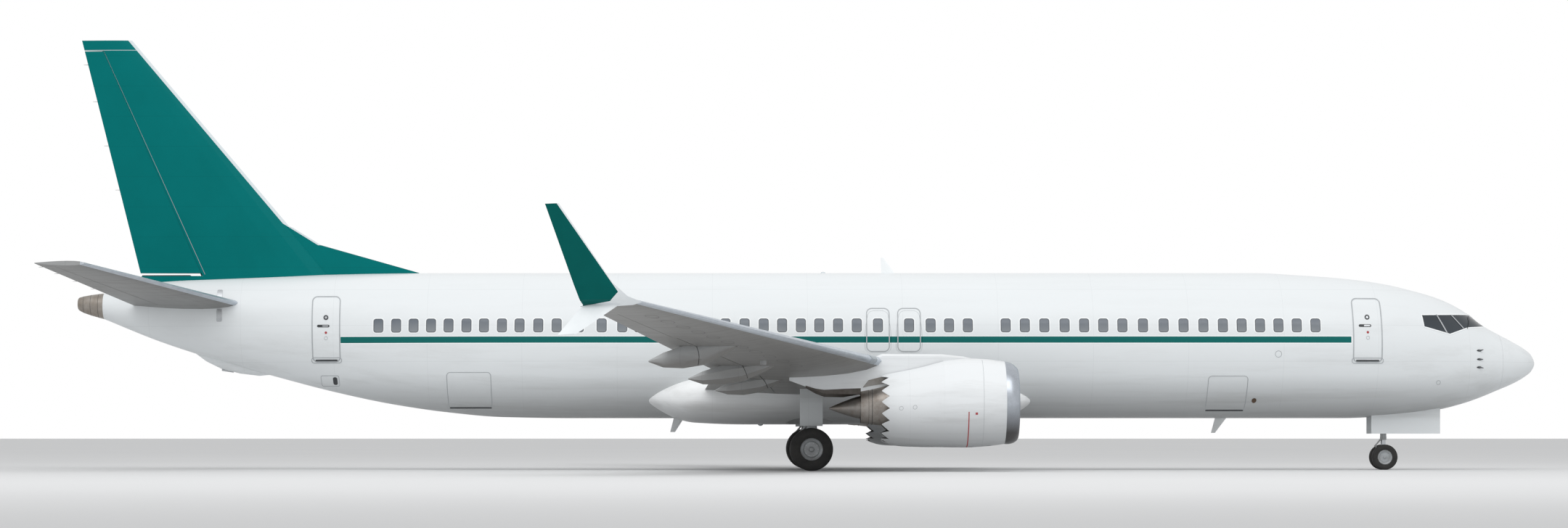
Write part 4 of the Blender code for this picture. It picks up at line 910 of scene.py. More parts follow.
# Core: a nickel-alloy cowl, the nozzle round its end and the exhaust plug in it, all left bare and
# tinted by the heat; 34 guide vanes stand behind the fan and carry its case
CORE_START, CORE_END = 15.6003, 18.26
CORE_COWL = (
    (CORE_START, 0.30, 0.0),
    (15.80, 0.50, 0.0),
    (16.60, 0.62, 0.01),
    (17.60, 0.56, 0.06),
    (CORE_END, 0.455, 0.10),
)
NOZZLE = (
    (18.262, 0.462, 0.10),
    (18.36, 0.447, 0.105),
    (18.46, 0.432, 0.11),
    (18.462, 0.424, 0.11),
    (18.40, 0.424, 0.108),
    (18.30, 0.43, 0.10),
    (18.262, 0.43, 0.10),
)
HOOP_PROFILE = ((-0.007, -0.008), (-0.007, 0.006), (0.007, 0.006), (0.007, -0.008))
VANES, VANE_SECTION = 34, ((-1, 0.022), (0, 0.0), (1, 0.012), (0, -0.006), (-0.9, 0.015))
PLUG = ((18.20, 0.30, 0.11), (18.46, 0.290, 0.12), (18.90, 0.165, 0.135), (19.27, 0.02, 0.147))
# Nickel alloy sheet, heat tinted: a bare grey metal clouded with brown
NOZZLE_METAL = worn_metal("heat_tinted_nickel_alloy", "aea8a2", "7b6e63", 0.36, 45.0, 1.0, 0.8)
# Titanium, spun and heat tinted: a darker bare grey, browner in clouds
PLUG_METAL = worn_metal("blued_titanium_plug", "9f9b97", "7c7167", 0.38, 45.0, 1.0, 0.7)

# Fans: eighteen wide-chord blades on each, forged in titanium with a swept leading edge, pinned
# into a hub behind a dark spinner that carries a white painted swirl, so that a turning fan is
# seen from the ground. A blade's section is a share of its half chord and of its thickness
SPINNER = (
    (14.955, 0.004, 0.0),
    (14.99, 0.060, 0.0),
    (15.08, 0.125, 0.0),
    (15.20, 0.190, 0.0),
    (15.35, 0.250, 0.0),
    (15.598, 0.290, 0.0),
)
FAN_S, BLADES, BLADE_ROOT, BLADE_HEIGHT = 15.40, 18, 0.20, 0.66
BLADE_SECTION = (
    (-1, 0.0),
    (-0.6, 0.8),
    (0.0, 1.0),
    (0.6, 0.8),
    (1, 0.0),
    (0.6, -0.8),
    (0.0, -1.0),
    (-0.6, -0.8),
)
# Titanium, forged and polished: a grey metal with a soft bright edge
BLADE_METAL = worn_metal("forged_titanium", "a3a7ac", "7c8085", 0.34, 90.0, 0.75, 0.4)
# Satin black paint over aluminium: a dark cone with a wide faint highlight
SPINNER_PAINT = worn_metal("satin_black_spinner", "2a2c2e", "3a3b3c", 0.38, 60.0, 0.0)


def fan_blade(turn, centre):
    """One twisted blade of aerofoil section, widest at two thirds of its height."""
    rings = []
    for j in range(11):
        share = j / 10
        r = BLADE_ROOT + BLADE_HEIGHT * share
        half = 0.10 + 0.05 * share + 0.018 * math.sin(math.pi * share)
        lean = math.radians(30 + 34 * share**0.8)
        sweep = -0.030 * math.sin(math.pi * share) + 0.02 * share
        along = Vector((math.cos(lean), math.sin(lean), 0))
        flat = Vector((-math.sin(lean), math.cos(lean), 0))
        ring = []
        for c, thick in BLADE_SECTION:
            camber = 0.020 * (1 - c * c)
            bulge = (0.011 - 0.006 * share) * thick
            spot = along * (half * c) + flat * (camber + bulge) + Vector((sweep, 0, r))
            ring.append(centre + turn @ spot)
        rings.append(ring)
    return skin_of(rings)


# The nacelles are put together from front to back: lip, cowl, sleeve, core, nozzle, plug and fan.
# Both skins of a cowl are 20 mm thick here, a sleeve's 12 mm
COWL_WALL, SLEEVE_WALL = 0.02, 0.012
for side, tag in SIDES:
    y = side * ENGINE_Y
    lip_skin = turned(lip_rows, y, True, 128, ENGINE_H)
    lip = make(f"inlet_lip_{tag}_skin", [lip_skin], LIP_METAL, "airframe")
    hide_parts(f"inlet_lip_{tag}")
    outer, inner = curve_rows(COWL_OUT, 28), curve_rows(COWL_IN, 14)
    thin = [(s, r - COWL_WALL, drop) for s, r, drop in reversed(outer)]
    cowl_skin = turned(outer + thin, y, True, 128, ENGINE_H)
    cowl = make(f"fan_cowl_{tag}_skin", [cowl_skin], COWL_ENAMEL, "airframe")
    thick = [(s, r + COWL_WALL, drop) for s, r, drop in reversed(inner)]
    case_skin = turned(inner + thick, y, True, 128, ENGINE_H)
    liner = make(f"fan_case_liner_{tag}", [case_skin], LINER, "airframe")
    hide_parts(f"fan_cowl_{tag}")
    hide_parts(f"fan_cowl_{tag}")
    body = f"reverser_sleeve_{tag}"
    slot_cut = box_between(at(18.6, y - 0.20, ENGINE_H + 0.5), at(16.0, y + 0.20, ENGINE_H + 1.5))
    rings = sleeve_rings(SLEEVE_OUT, y, 0.0, 1.0) + sleeve_rings(SLEEVE_OUT, y, 1.0, 0.0, -SLEEVE_WALL)
    sleeve = make(f"{body}_skin", [skin_of(rings, closed=True)], COWL_ENAMEL, body)
    carve(sleeve, make("slot", [slot_cut], COWL_ENAMEL), "DIFFERENCE")
    rings = sleeve_rings(SLEEVE_IN, y, 0.0, 0.97) + sleeve_rings(SLEEVE_OUT, y, 0.97, 0.0, -0.0145)
    duct = make(f"{body}_duct", [skin_of(rings, closed=True)], SHADOWED, body)
    carve(duct, make("slot", [slot_cut], SHADOWED), "DIFFERENCE")
    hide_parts(body)
    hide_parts(body)
    core_rows = [(CORE_START, 0.04, 0.0)] + curve_rows(CORE_COWL, 40)
    vanes = []
    for k in range(VANES):
        spin = Matrix.Rotation(2 * math.pi * k / VANES, 3, "X")
        rings = []
        for share in (0.0, 0.5, 1.0):
            r = 0.44 + 0.449 * share
            ring = []
            for c, bend in VANE_SECTION:
                ring.append(at(15.73, y, ENGINE_H) + spin @ Vector((-0.085 * c, bend + 0.01 * share, r)))
            rings.append(ring)
        vanes.append(skin_of(rings))
    core_skin = turned(core_rows, y, False, 96, ENGINE_H)
    core = make(f"core_cowl_{tag}", [core_skin], NOZZLE_METAL, "airframe")
    make(f"guide_vanes_{tag}", vanes, LINER, "airframe")
    nozzle_skin = turned(NOZZLE, y, True, 96, ENGINE_H)
    nozzle = make(f"core_nozzle_{tag}", [nozzle_skin], NOZZLE_METAL, "airframe")
    hoops = []
    for s in (18.17, 18.262):
        r, drop = read_off(CORE_COWL, [min(s, CORE_END)])[0, 1:]
        hoops.append(turned([(s + ds, r + dr, drop) for ds, dr in HOOP_PROFILE], y, True, 96, ENGINE_H))
    make(f"core_nozzle_seams_{tag}", hoops, SHADOWED, "airframe")
    plug_skin = turned(curve_rows(PLUG, 30), y, False, 72, ENGINE_H)
    plug_end = make(f"exhaust_plug_{tag}", [plug_skin], PLUG_METAL, "airframe")
    for piece in (core, nozzle, plug_end):
        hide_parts(f"engine_core_{tag}")
    centre = at(FAN_S, y, ENGINE_H)
    turns = [Matrix.Rotation(2 * math.pi * k / BLADES, 3, "X") for k in range(BLADES)]
    blades = [fan_blade(turn, centre) for turn in turns]
    fan = make(f"fan_blades_{tag}", blades, BLADE_METAL, f"fan_{tag}")
    cone = turned(curve_rows(SPINNER, 30), y, False, 72, ENGINE_H)
    hub = make(f"fan_spinner_{tag}", [cone], SPINNER_PAINT, f"fan_{tag}")
    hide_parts(f"fan_{tag}")
    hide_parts(f"fan_{tag}")
    swirl = []
    for k in range(25):
        share = k / 24
        s = 15.02 + 0.30 * share
        r = read_off(SPINNER, [s])[0, 1] + 0.002
        a = math.radians(300 * share)
        wide = (0.10 + 0.22 * math.sin(math.pi * share)) * 0.09 / r
        for d in (-wide, -wide / 3, wide / 3, wide):
            swirl.append(at(s, y + r * math.sin(a + d), ENGINE_H + r * math.cos(a + d)))
    make(f"spinner_swirl_{tag}", [(swirl, quads(24, 4))], SURROUND, f"fan_{tag}")
    seams, reds = [], []
    for part in (-1, 1):
        seams.append(cowl_strip(15.335, 15.343, 14 * part, 172 * part, y, 0.002))
        seams.append(cowl_strip(14.80, 16.32, 176.8 * part, 177.1 * part, y, 0.002))
        reds.append(cowl_strip(15.714, 15.740, 102 * part, 174 * part, y, 0.003))
        reds.append(cowl_strip(15.50, 15.56, 103 * part, 106 * part, y, 0.003))
        for s in (15.10, 15.58, 16.02):
            seams.append(cowl_strip(s, s + 0.10, 171 * part, 174.5 * part, y, 0.003))
    make(f"cowl_seams_{tag}", seams, COWL_LINES, "airframe")
    make(f"cowl_red_marks_{tag}", reds, MARKING_RED, "airframe")
    ports = []
    for s in (17.10, 17.45):
        for part in (-1, 1):
            edge = []
            for k in range(16):
                a = 2 * math.pi * k / 16
                for r in (0.055, 0.045):
                    around = part * (math.radians(90) + r * math.sin(a))
                    edge.append(cowl_point(s + r * math.cos(a), around, y, 0.003))
            rim = [(2 * k, 2 * k + 1, (2 * k + 3) % 32, (2 * k + 2) % 32) for k in range(16)]
            ports.append((edge, rim))
    make(f"sleeve_port_rims_{tag}", ports, COWL_LINES, body)

# Pylons: aluminium box beams faired in white, with a bare steel heat shield riveted along the
# foot of each behind the nozzle. The solids that are carried over, here and below, get smooth
# shading over their facets: edges steeper than the crease angle stay crisp
ease = bpy.data.node_groups.new("eased_facets", "GeometryNodeTree")
ease.interface.new_socket("Geometry", in_out="INPUT", socket_type="NodeSocketGeometry")
ease.interface.new_socket("Geometry", in_out="OUTPUT", socket_type="NodeSocketGeometry")
enter, leave = ease.nodes.new("NodeGroupInput"), ease.nodes.new("NodeGroupOutput")
weld = ease.nodes.new("GeometryNodeMergeByDistance")
weld.inputs["Distance"].default_value = 0.0001
soft = ease.nodes.new("GeometryNodeSetShadeSmooth")
crisp = ease.nodes.new("GeometryNodeSetShadeSmooth")
crisp.domain = "EDGE"
crisp.inputs["Shade Smooth"].default_value = False
bend = ease.nodes.new("GeometryNodeInputMeshEdgeAngle")
steep = ease.nodes.new("FunctionNodeCompare")
steep.operation = "GREATER_THAN"
steep.inputs[1].default_value = CREASE
ease.links.new(enter.outputs[0], weld.inputs["Geometry"])
ease.links.new(weld.outputs[0], soft.inputs["Geometry"])
ease.links.new(soft.outputs[0], crisp.inputs["Geometry"])
ease.links.new(bend.outputs["Unsigned Angle"], steep.inputs[0])
ease.links.new(steep.outputs[0], crisp.inputs["Selection"])
ease.links.new(crisp.outputs[0], leave.inputs[0])


def dress(material, *names):
    """Gives carried-over solids their finish and smooth shading; their meshes stay as they are."""
    for name in names:
        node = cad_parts[name]
        for holder in node.material_slots:
            holder.material = material
        step = node.modifiers.new("eased_facets", "NODES")
        step.node_group = ease
        even = node.modifiers.new("even_normals", "WEIGHTED_NORMAL")
        even.keep_sharp = True


dress(COWL_ENAMEL, "pylon_left", "pylon_right")
# Stainless steel sheet, heat stained: a dull grey metal with brown clouds
SHIELD = worn_metal("stainless_heat_shield", "94928f", "6f665c", 0.40, 40.0, 1.0, 0.7)
# The same sheet behind the nozzle, under soot: dark and brownish
SOOTED_SHIELD = worn_metal("sooted_heat_shield", "615d59", "423c37", 0.45, 40.0, 0.8, 0.7)
# Station, the heights of the foot, the shoulder and the top edge, and the half width
SHIELD_ROWS = (
    (18.46, 0.600, 0.594, 0.750, 0.176),
    (18.90, 0.520, 0.600, 0.735, 0.163),
    (19.40, 0.530, 0.610, 0.710, 0.146),
    (19.62, 0.610, 0.690, 0.740, 0.122),
    (19.88, 0.760, 0.785, 0.820, 0.094),
)
PLATE_ROWS = ((17.74, 0.885, 1.090), (18.26, 0.800, 0.960), (18.40, 0.765, 0.785))
PLATE_INSIDE, PLATE_OUTSIDE = 0.171, 0.178
for side, tag in SIDES:
    y = side * ENGINE_Y
    rings = []
    for s, low, shoulder, high, half in SHIELD_ROWS:
        near_side = ((-half, high), (-half, shoulder), (-0.6 * half, low))
        far_side = ((0.6 * half, low), (half, shoulder), (half, high))
        rings.append([at(s, y + dy, h) for dy, h in near_side + far_side])
    make(f"pylon_heat_shield_{tag}", [skin_of(rings)], SOOTED_SHIELD, "airframe")
    plates = []
    for part in (-1, 1):
        inner, outer = y + part * PLATE_INSIDE, y + part * PLATE_OUTSIDE
        rings = []
        for s, low, high in PLATE_ROWS:
            rings.append([at(s, w, h) for w, h in ((inner, low), (outer, low), (outer, high), (inner, high))])
        plates.append(skin_of(rings))
    make(f"pylon_side_shields_{tag}", plates, SHIELD, "airframe")

# Wings: machined aluminium skins in light grey enamel, with bare slats along the leading edge,
# panel joints from root to tip, streaks of soot and oil film dragged aft, and painted shade over the
# underside. Rows give the span position, the front and back stations, the heights of the chord's two
# ends, and the thickness as a share of the chord
WING = (
    (1.20, 14.90, 22.55, 1.12, 0.68, 0.125),
    (4.20, 17.53, 22.30, 1.39, 1.02, 0.125),
    (5.70, 18.26, 22.20, 1.52, 1.19, 0.120),
    (17.15, 23.82, 25.15, 2.54, 2.47, 0.100),
)


def wing_point(u, share, side, upper=True, lift=0.0, rows=WING):
    """A point of the wing's skin at a span position and a share of the chord."""
    table = np.array(rows)
    front, back, w0, w1, thick = (np.interp(u, table[:, 0], table[:, k]) for k in range(1, 6))
    chord = back - front
    bulge = 0.2969 * math.sqrt(share) - 0.126 * share
    bulge += -0.3516 * share**2 + 0.2843 * share**3 - 0.1036 * share**4
    half = max(5 * thick * chord * bulge, 0.0) + 0.008 * share + lift
    return at(front + chord * share, side * u, w0 + (w1 - w0) * share + (half if upper else -half))


# Ribs stand 1.31 m apart and skin planks are 0.94 m wide, along a sweep of 0.40. The slats' bare
# strip is 0.11 m wide behind lines that start at a span position and station and slope aft
RIB_PITCH, PLANK_WIDTH, PLANK_SWEEP, BARE_STRIP = 1.31, 0.94, 0.40, 0.11


def wing_enamel(name, base, painted_shade_beneath, metal, edge, roughness):
    """Grey enamel with joints across the span, darker beneath with painted shade, with a bare strip along its
    edge.
    """
    material, tree, shader = new_finish(name, roughness, IOR=1.5)
    shader.inputs["Specular IOR Level"].default_value = 0.35
    place = add(tree, "TexCoord")
    xyz = add(tree, "SeparateXYZ", {}, {0: (place, "Object")})
    facing = add(tree, "SeparateXYZ", {}, {0: (place, "Normal")})
    # Painted shade: faces that look down take the darker tone
    below = add(tree, "MapRange", {}, {0: (facing, "Z"), 1: 0.25, 2: -0.35, 3: 0.0, 4: 1.0})
    tint = add(tree, "Mix", COLOUR_MIX, {0: below, 6: colour(base), 7: colour(painted_shade_beneath)})
    out = add(tree, "Math", {"operation": "ABSOLUTE"}, {0: (xyz, "Y")})
    aft = add(tree, "Math", {"operation": "SUBTRACT"}, {0: NOSE_X, 1: (xyz, "X")})
    stretched = add(tree, "Mapping", {}, {"Vector": (place, "Object"), "Scale": (0.30, 4.5, 1.0)})
    grain = {"Vector": stretched, "Scale": 1.9, "Detail": 6.0, "Roughness": 0.6}
    streaks = add(tree, "TexNoise", {}, grain)
    marks = add(tree, "MapRange", {}, {0: (streaks, "Fac"), 1: 0.48, 2: 0.80, 3: 0.0, 4: 0.36})
    tint = add(tree, "Mix", COLOUR_MIX, {0: marks, 6: tint, 7: colour("6a6762")})
    swept = add(tree, "Math", {"operation": "MULTIPLY_ADD"}, {0: out, 1: -PLANK_SWEEP, 2: aft})
    ribs = sheet_seams(tree, out, RIB_PITCH, JOINT)
    planks = sheet_seams(tree, swept, PLANK_WIDTH, JOINT)
    seams = add(tree, "Math", {"operation": "MAXIMUM"}, {0: ribs, 1: planks})
    faint = add(tree, "Math", {"operation": "MULTIPLY"}, {0: seams, 1: 0.20})
    tint = add(tree, "Mix", COLOUR_MIX, {0: faint, 6: tint, 7: colour("55585a")})
    front = None
    for start_u, start_s, slope in edge:
        line = add(tree, "Math", {"operation": "SUBTRACT"}, {0: out, 1: start_u})
        line = add(tree, "Math", {"operation": "MULTIPLY_ADD"}, {0: line, 1: slope, 2: start_s})
        if front is None:
            front = line
        else:
            front = add(tree, "Math", {"operation": "MINIMUM"}, {0: front, 1: line})
    behind = add(tree, "Math", {"operation": "SUBTRACT"}, {0: aft, 1: front})
    strip = add(tree, "Math", {"operation": "LESS_THAN"}, {0: behind, 1: BARE_STRIP})
    bare = add(tree, "TexNoise", {}, {"Vector": (place, "Object"), "Scale": 6.0, "Detail": 4.0})
    bright = add(tree, "Mix", COLOUR_MIX, {0: (bare, "Fac"), 6: colour(metal), 7: colour("b9c1c9")})
    tint = add(tree, "Mix", COLOUR_MIX, {0: strip, 6: tint, 7: bright})
    tree.links.new(tint.outputs[2], shader.inputs["Base Color"])
    shine = add(tree, "Math", {"operation": "MULTIPLY"}, {0: strip, 1: 0.7})
    tree.links.new(shine.outputs[0], shader.inputs["Metallic"])
    dull = add(tree, "MapRange", {}, {0: marks, 1: 0.0, 2: 0.55, 3: roughness, 4: roughness + 0.22})
    tree.links.new(dull.outputs[0], shader.inputs["Roughness"])
    groove = add(tree, "Math", {"operation": "SUBTRACT"}, {0: 1.0, 1: seams})
    bump = add(tree, "Bump", {}, {"Strength": 0.2, "Distance": 0.004, "Height": groove})
    tree.links.new(bump.outputs[0], shader.inputs["Normal"])
    return material


WING_EDGE = ((4.20, 17.53, 0.877), (4.20, 17.53, 0.4856))
# Grey enamel on machined plate: a satin grey, streaked fore and aft with a film of oil and soot, and
# darker beneath with painted shade
WING_ENAMEL = wing_enamel("grey_wing_enamel", "aeb0b1", "82817f", "d3d9e0", WING_EDGE, 0.34)
for side, tag in SIDES:
    dress(WING_ENAMEL, f"wing_{tag}", f"flap_inboard_{tag}", f"flap_outboard_{tag}", f"aileron_{tag}")
# The same enamel on moulded spoilers: a shade paler, so that their panels read on the wing
SPOILER_ENAMEL = wing_enamel("grey_spoiler_enamel", "b4b6b7", "979795", "d3d9e0", WING_EDGE, 0.36)
# Carbon-filled nylon, extruded: thin matt black rods
WICK_BLACK = worn_metal("carbon_wick", "2b2b2c", "3a3a3a", 0.6, metallic=0.0)
# Borosilicate glass, pressed: a pale grey lens with a sharp gloss, whose tone is a painted reflection, darker
# below
LAMP_GLASS = pane_with_painted_reflection("lamp_lens", "a9b1b7", "868d93", 2.6, 3.2, 0.05)
# Sealant in shadow: a matt dark grey line
WING_SEAM = worn_metal("shadowed_wing_seam", "5f6060", "4b4b4b", 0.6, metallic=0.0)
SPOILER_SPANS = ((2.7, 3.95), (6.1, 7.45), (7.5, 8.85), (8.9, 10.25), (10.3, 11.65))
SPOILER_SHARES, HATCH_SHARE = (0.575, 0.61, 0.65, 0.685), 0.36
LAMP_SPANS = ((2.35, 2.75), (5.25, 5.55))


def under_wing(u, share, side, lift):
    """The place on the carried-over wing's own underside at a span position and chord share."""
    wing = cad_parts["wing_left" if side > 0 else "wing_right"]
    place = wing_point(u, share, side, False)
    home = wing.matrix_world.inverted()
    up = Vector((0, 0, 1))
    found, spot = wing.ray_cast(home @ (place - up), home.to_3x3() @ up)[:2]
    return wing.matrix_world @ spot - Vector((0, 0, lift)) if found else place


bpy.context.view_layer.update()
for side, tag in SIDES:
    spoilers, ovals = [], []
    for u0, u1 in SPOILER_SPANS:
        rings = []
        for k in range(9):
            u = u0 + (u1 - u0) * k / 8
            high = [wing_point(u, share, side, True, 0.007) for share in SPOILER_SHARES]
            low = [wing_point(u, share, side, True, -0.012) for share in reversed(SPOILER_SHARES)]
            rings.append(high + low)
        spoilers.append(skin_of(rings))
    make(f"spoilers_{tag}", spoilers, SPOILER_ENAMEL, "airframe")
    for k in range(11):
        u = 6.9 + 0.86 * k
        ring = []
        for j in range(25):
            a = 2 * math.pi * (j % 24) / 24
            for grow in (1.0, 0.93):
                chord = np.interp(u, [5.7, 17.15], [3.94, 1.33])
                share = HATCH_SHARE + 0.13 * grow * math.sin(a) / chord
                ring.append(under_wing(u + 0.24 * grow * math.cos(a), share, side, 0.003))
        ovals.append((ring, quads(24, 2)))
    make(f"tank_hatch_seams_{tag}", ovals, WING_SEAM, "airframe")
    wicks = []
    for u in (16.15, 16.55, 16.95):
        foot = (wing_point(u, 1.0, side) + wing_point(u, 1.0, side, False)) / 2 + Vector((0.03, 0, 0))
        wicks.append(bar(foot, foot + Vector((-0.15, 0, -0.005)), 0.006, 0.003, 8))
    make(f"wing_wicks_{tag}", wicks, WICK_BLACK, "airframe")
    lamps = []
    for u0, u1 in LAMP_SPANS:
        rings = []
        for k in range(5):
            u = u0 + (u1 - u0) * k / 4
            upper = [wing_point(u, share, side, True, 0.004) for share in (0.03, 0.012, 0.003)]
            lower = [wing_point(u, share, side, False, 0.004) for share in (0.003, 0.012, 0.025)]
            nose = wing_point(u, 0.0, side, True, 0.0) + Vector((0.004, 0, 0))
            rings.append(upper + [nose] + lower)
        lamps.append(skin_of(rings))
    make(f"wing_landing_lamps_{tag}", lamps, LAMP_GLASS, "airframe")

# Winglets: moulded in carbon fibre and bolted to the wing's end rib, teal on the upper blade and
# white over the root, the leading edge and the lower blade. The teal starts above two sloping
# lines that meet 24.54 m aft of the nose, and stops short of the leading edge
TEAL_CORNER, TEAL_SLOPES = (24.54, KEEL_Z + 2.551), (-1.127, -0.173)
TEAL_FRONT = (24.37, KEEL_Z + 2.776, -0.693)
# Teal and white enamel over carbon fibre: smooth, even and dark beside the bright white
WINGLET_ENAMEL, tree, shader = new_finish("teal_and_white_enamel", 0.3, IOR=1.5)
shader.inputs["Specular IOR Level"].default_value = 0.06
place = add(tree, "TexCoord")
xyz = add(tree, "SeparateXYZ", {}, {0: (place, "Object")})
aft = add(tree, "Math", {"operation": "SUBTRACT"}, {0: NOSE_X, 1: (xyz, "X")})
past = add(tree, "Math", {"operation": "SUBTRACT"}, {0: aft, 1: TEAL_CORNER[0]})
over = []
for slope in TEAL_SLOPES:
    line = add(tree, "Math", {"operation": "MULTIPLY_ADD"}, {0: past, 1: slope, 2: TEAL_CORNER[1]})
    over.append(add(tree, "Math", {"operation": "GREATER_THAN"}, {0: (xyz, "Z"), 1: line}))
teal_part = add(tree, "Math", {"operation": "MINIMUM"}, {0: over[0], 1: over[1]})
edge = add(tree, "Math", {"operation": "SUBTRACT"}, {0: (xyz, "Z"), 1: TEAL_FRONT[1]})
edge = add(tree, "Math", {"operation": "MULTIPLY_ADD"}, {0: edge, 1: TEAL_FRONT[2], 2: aft})
behind = add(tree, "Math", {"operation": "GREATER_THAN"}, {0: edge, 1: TEAL_FRONT[0]})
teal_part = add(tree, "Math", {"operation": "MINIMUM"}, {0: teal_part, 1: behind})
cloud = add(tree, "TexNoise", {}, {"Vector": (place, "Object"), "Scale": 2.5, "Detail": 5.0})
teal = add(tree, "Mix", COLOUR_MIX, {0: (cloud, "Fac"), 6: colour("015551"), 7: colour("035f5b")})
white = add(tree, "Mix", COLOUR_MIX, {0: (cloud, "Fac"), 6: colour("eef2f4"), 7: colour("dde2e5")})
tint = add(tree, "Mix", COLOUR_MIX, {0: teal_part, 6: white, 7: teal})
tree.links.new(tint.outputs[2], shader.inputs["Base Color"])
bump = add(tree, "Bump", {}, {"Strength": 0.05, "Distance": 0.004, "Height": (cloud, "Fac")})
tree.links.new(bump.outputs[0], shader.inputs["Normal"])
dress(WINGLET_ENAMEL, "winglet_left", "winglet_right")

# Fin and rudder: ribbed aluminium and carbon panels in teal enamel, with a bare strip along the
# fin's leading edge, a pale line where the cap is let in, and another down the rudder's hinge.
# Rows are as the wing's, with the height over the keel line in place of the span position
FIN = ((3.50, 32.35, 37.72, 0.0, 0.0, 0.090), (10.26, 38.06, 39.42, 0.0, 0.0, 0.085))
FIN_SLOPE, FIN_RIB_PITCH, FIN_JOINT = 0.8447, 0.82, 0.010
# The dorsal fin's ridge runs forward from this station and height, and the strip stops over it
RIDGE_S, RIDGE_H, RIDGE_SLOPE = 32.92, 4.70, 0.618
CAP_H = 9.995


def fin_enamel(name):
    """Teal enamel with faint rib joints, a bare leading edge and a pale line under the cap."""
    material, tree, shader = new_finish(name, 0.3, IOR=1.5)
    shader.inputs["Specular IOR Level"].default_value = 0.05
    place = add(tree, "TexCoord")
    xyz = add(tree, "SeparateXYZ", {}, {0: (place, "Object")})
    aft = add(tree, "Math", {"operation": "SUBTRACT"}, {0: NOSE_X, 1: (xyz, "X")})
    up = add(tree, "Math", {"operation": "SUBTRACT"}, {0: (xyz, "Z"), 1: KEEL_Z})
    spots = {"Vector": (place, "Object"), "Scale": 0.9, "Detail": 6.0, "Roughness": 0.6}
    cloud = add(tree, "TexNoise", {}, spots)
    tint = add(tree, "Mix", COLOUR_MIX, {0: (cloud, "Fac"), 6: colour("016a69"), 7: colour("027474")})
    ribs = sheet_seams(tree, up, FIN_RIB_PITCH, FIN_JOINT)
    faint = add(tree, "Math", {"operation": "MULTIPLY"}, {0: ribs, 1: 0.22})
    tint = add(tree, "Mix", COLOUR_MIX, {0: faint, 6: tint, 7: colour("034947")})
    strip_end = FIN[0][1] - FIN_SLOPE * FIN[0][0] + 0.10
    ridge_line = RIDGE_H - RIDGE_SLOPE * RIDGE_S - 0.055
    edge = add(tree, "Math", {"operation": "MULTIPLY_ADD"}, {0: up, 1: -FIN_SLOPE, 2: aft})
    strip = add(tree, "Math", {"operation": "LESS_THAN"}, {0: edge, 1: strip_end})
    above = add(tree, "Math", {"operation": "GREATER_THAN"}, {0: up, 1: RIDGE_H})
    strip = add(tree, "Math", {"operation": "MULTIPLY"}, {0: strip, 1: above})
    ridge = add(tree, "Math", {"operation": "MULTIPLY_ADD"}, {0: aft, 1: -RIDGE_SLOPE, 2: up})
    outer = add(tree, "Math", {"operation": "GREATER_THAN"}, {0: ridge, 1: ridge_line})
    strip = add(tree, "Math", {"operation": "MULTIPLY"}, {0: strip, 1: outer})
    cap = add(tree, "Math", {"operation": "COMPARE"}, {0: up, 1: CAP_H, 2: 0.009})
    cap = add(tree, "Math", {"operation": "MULTIPLY"}, {0: cap, 1: 0.6})
    light = add(tree, "Math", {"operation": "MAXIMUM"}, {0: strip, 1: cap})
    tint = add(tree, "Mix", COLOUR_MIX, {0: light, 6: tint, 7: colour("d5dde0")})
    tree.links.new(tint.outputs[2], shader.inputs["Base Color"])
    groove = add(tree, "Math", {"operation": "SUBTRACT"}, {0: (cloud, "Fac"), 1: ribs})
    bump = add(tree, "Bump", {}, {"Strength": 0.06, "Distance": 0.006, "Height": groove})
    tree.links.new(bump.outputs[0], shader.inputs["Normal"])
    return material


# Teal polyurethane enamel, sprayed and polished: a deep even blue-green with a soft gloss
FIN_ENAMEL = fin_enamel("teal_polyurethane_enamel")
dress(FIN_ENAMEL, "fin", "rudder")
WICK_OUT, WICK_ROOT_R, WICK_TIP_R = Vector((0.03, 0, 0)), 0.006, 0.003


def fin_point(h, share, side, lift=0.0):
    """A point of the fin's skin at a height and a share of the chord."""
    flat = wing_point(h, share, 1, True, lift, FIN)
    return at(NOSE_X - flat.x, side * (flat.z - KEEL_Z), h)


HINGE_SHARES, HINGE_FOOT, HINGE_LENGTH = (0.6555, 0.6580), 3.90, 6.05
SEAL_SHARES, SEAL_HEIGHTS = (0.74, 0.80, 0.86, 0.92, 0.96, 0.995), (3.80, 3.885)
hinge_lines, foot_rings = [], []
for side, tag in SIDES:
    points = []
    for k in range(25):
        h = HINGE_FOOT + HINGE_LENGTH * k / 24
        points += [fin_point(h, share, side, 0.004) for share in HINGE_SHARES]
    hinge_lines.append((points, quads(24, 2)))
make("rudder_hinge_lines", hinge_lines, COWL_LINES, "airframe")
for h in SEAL_HEIGHTS:
    left_side = [fin_point(h, share, 1, -0.004) for share in SEAL_SHARES]
    right_side = [fin_point(h, share, -1, -0.004) for share in reversed(SEAL_SHARES)]
    foot_rings.append(left_side + right_side)
make("rudder_foot_seal", [skin_of(foot_rings)], BLACK_RUBBER_AND_PAINTED_SHADE, "airframe")
wicks = []
for h in (6.2, 7.4, 8.6, 9.6):
    foot = fin_point(h, 1.0, 1)
    foot.y = 0.0
    wicks.append(bar(foot + WICK_OUT, foot + Vector((-0.12, 0, 0)), WICK_ROOT_R, WICK_TIP_R, 8))
make("rudder_wicks", wicks, WICK_BLACK, "rudder")

# Stabilisers and elevators: aluminium boxes in grey enamel with bare leading edges, built as the
# wings are; sliding seal plates cover the slots where the stabiliser goes through the body
STABILISER = ((0.20, 34.74, 37.88, 3.02, 3.02, 0.10), (7.175, 38.11, 39.37, 3.88, 3.88, 0.09))
TAIL_EDGE = ((0.20, 34.74, 0.4832),)
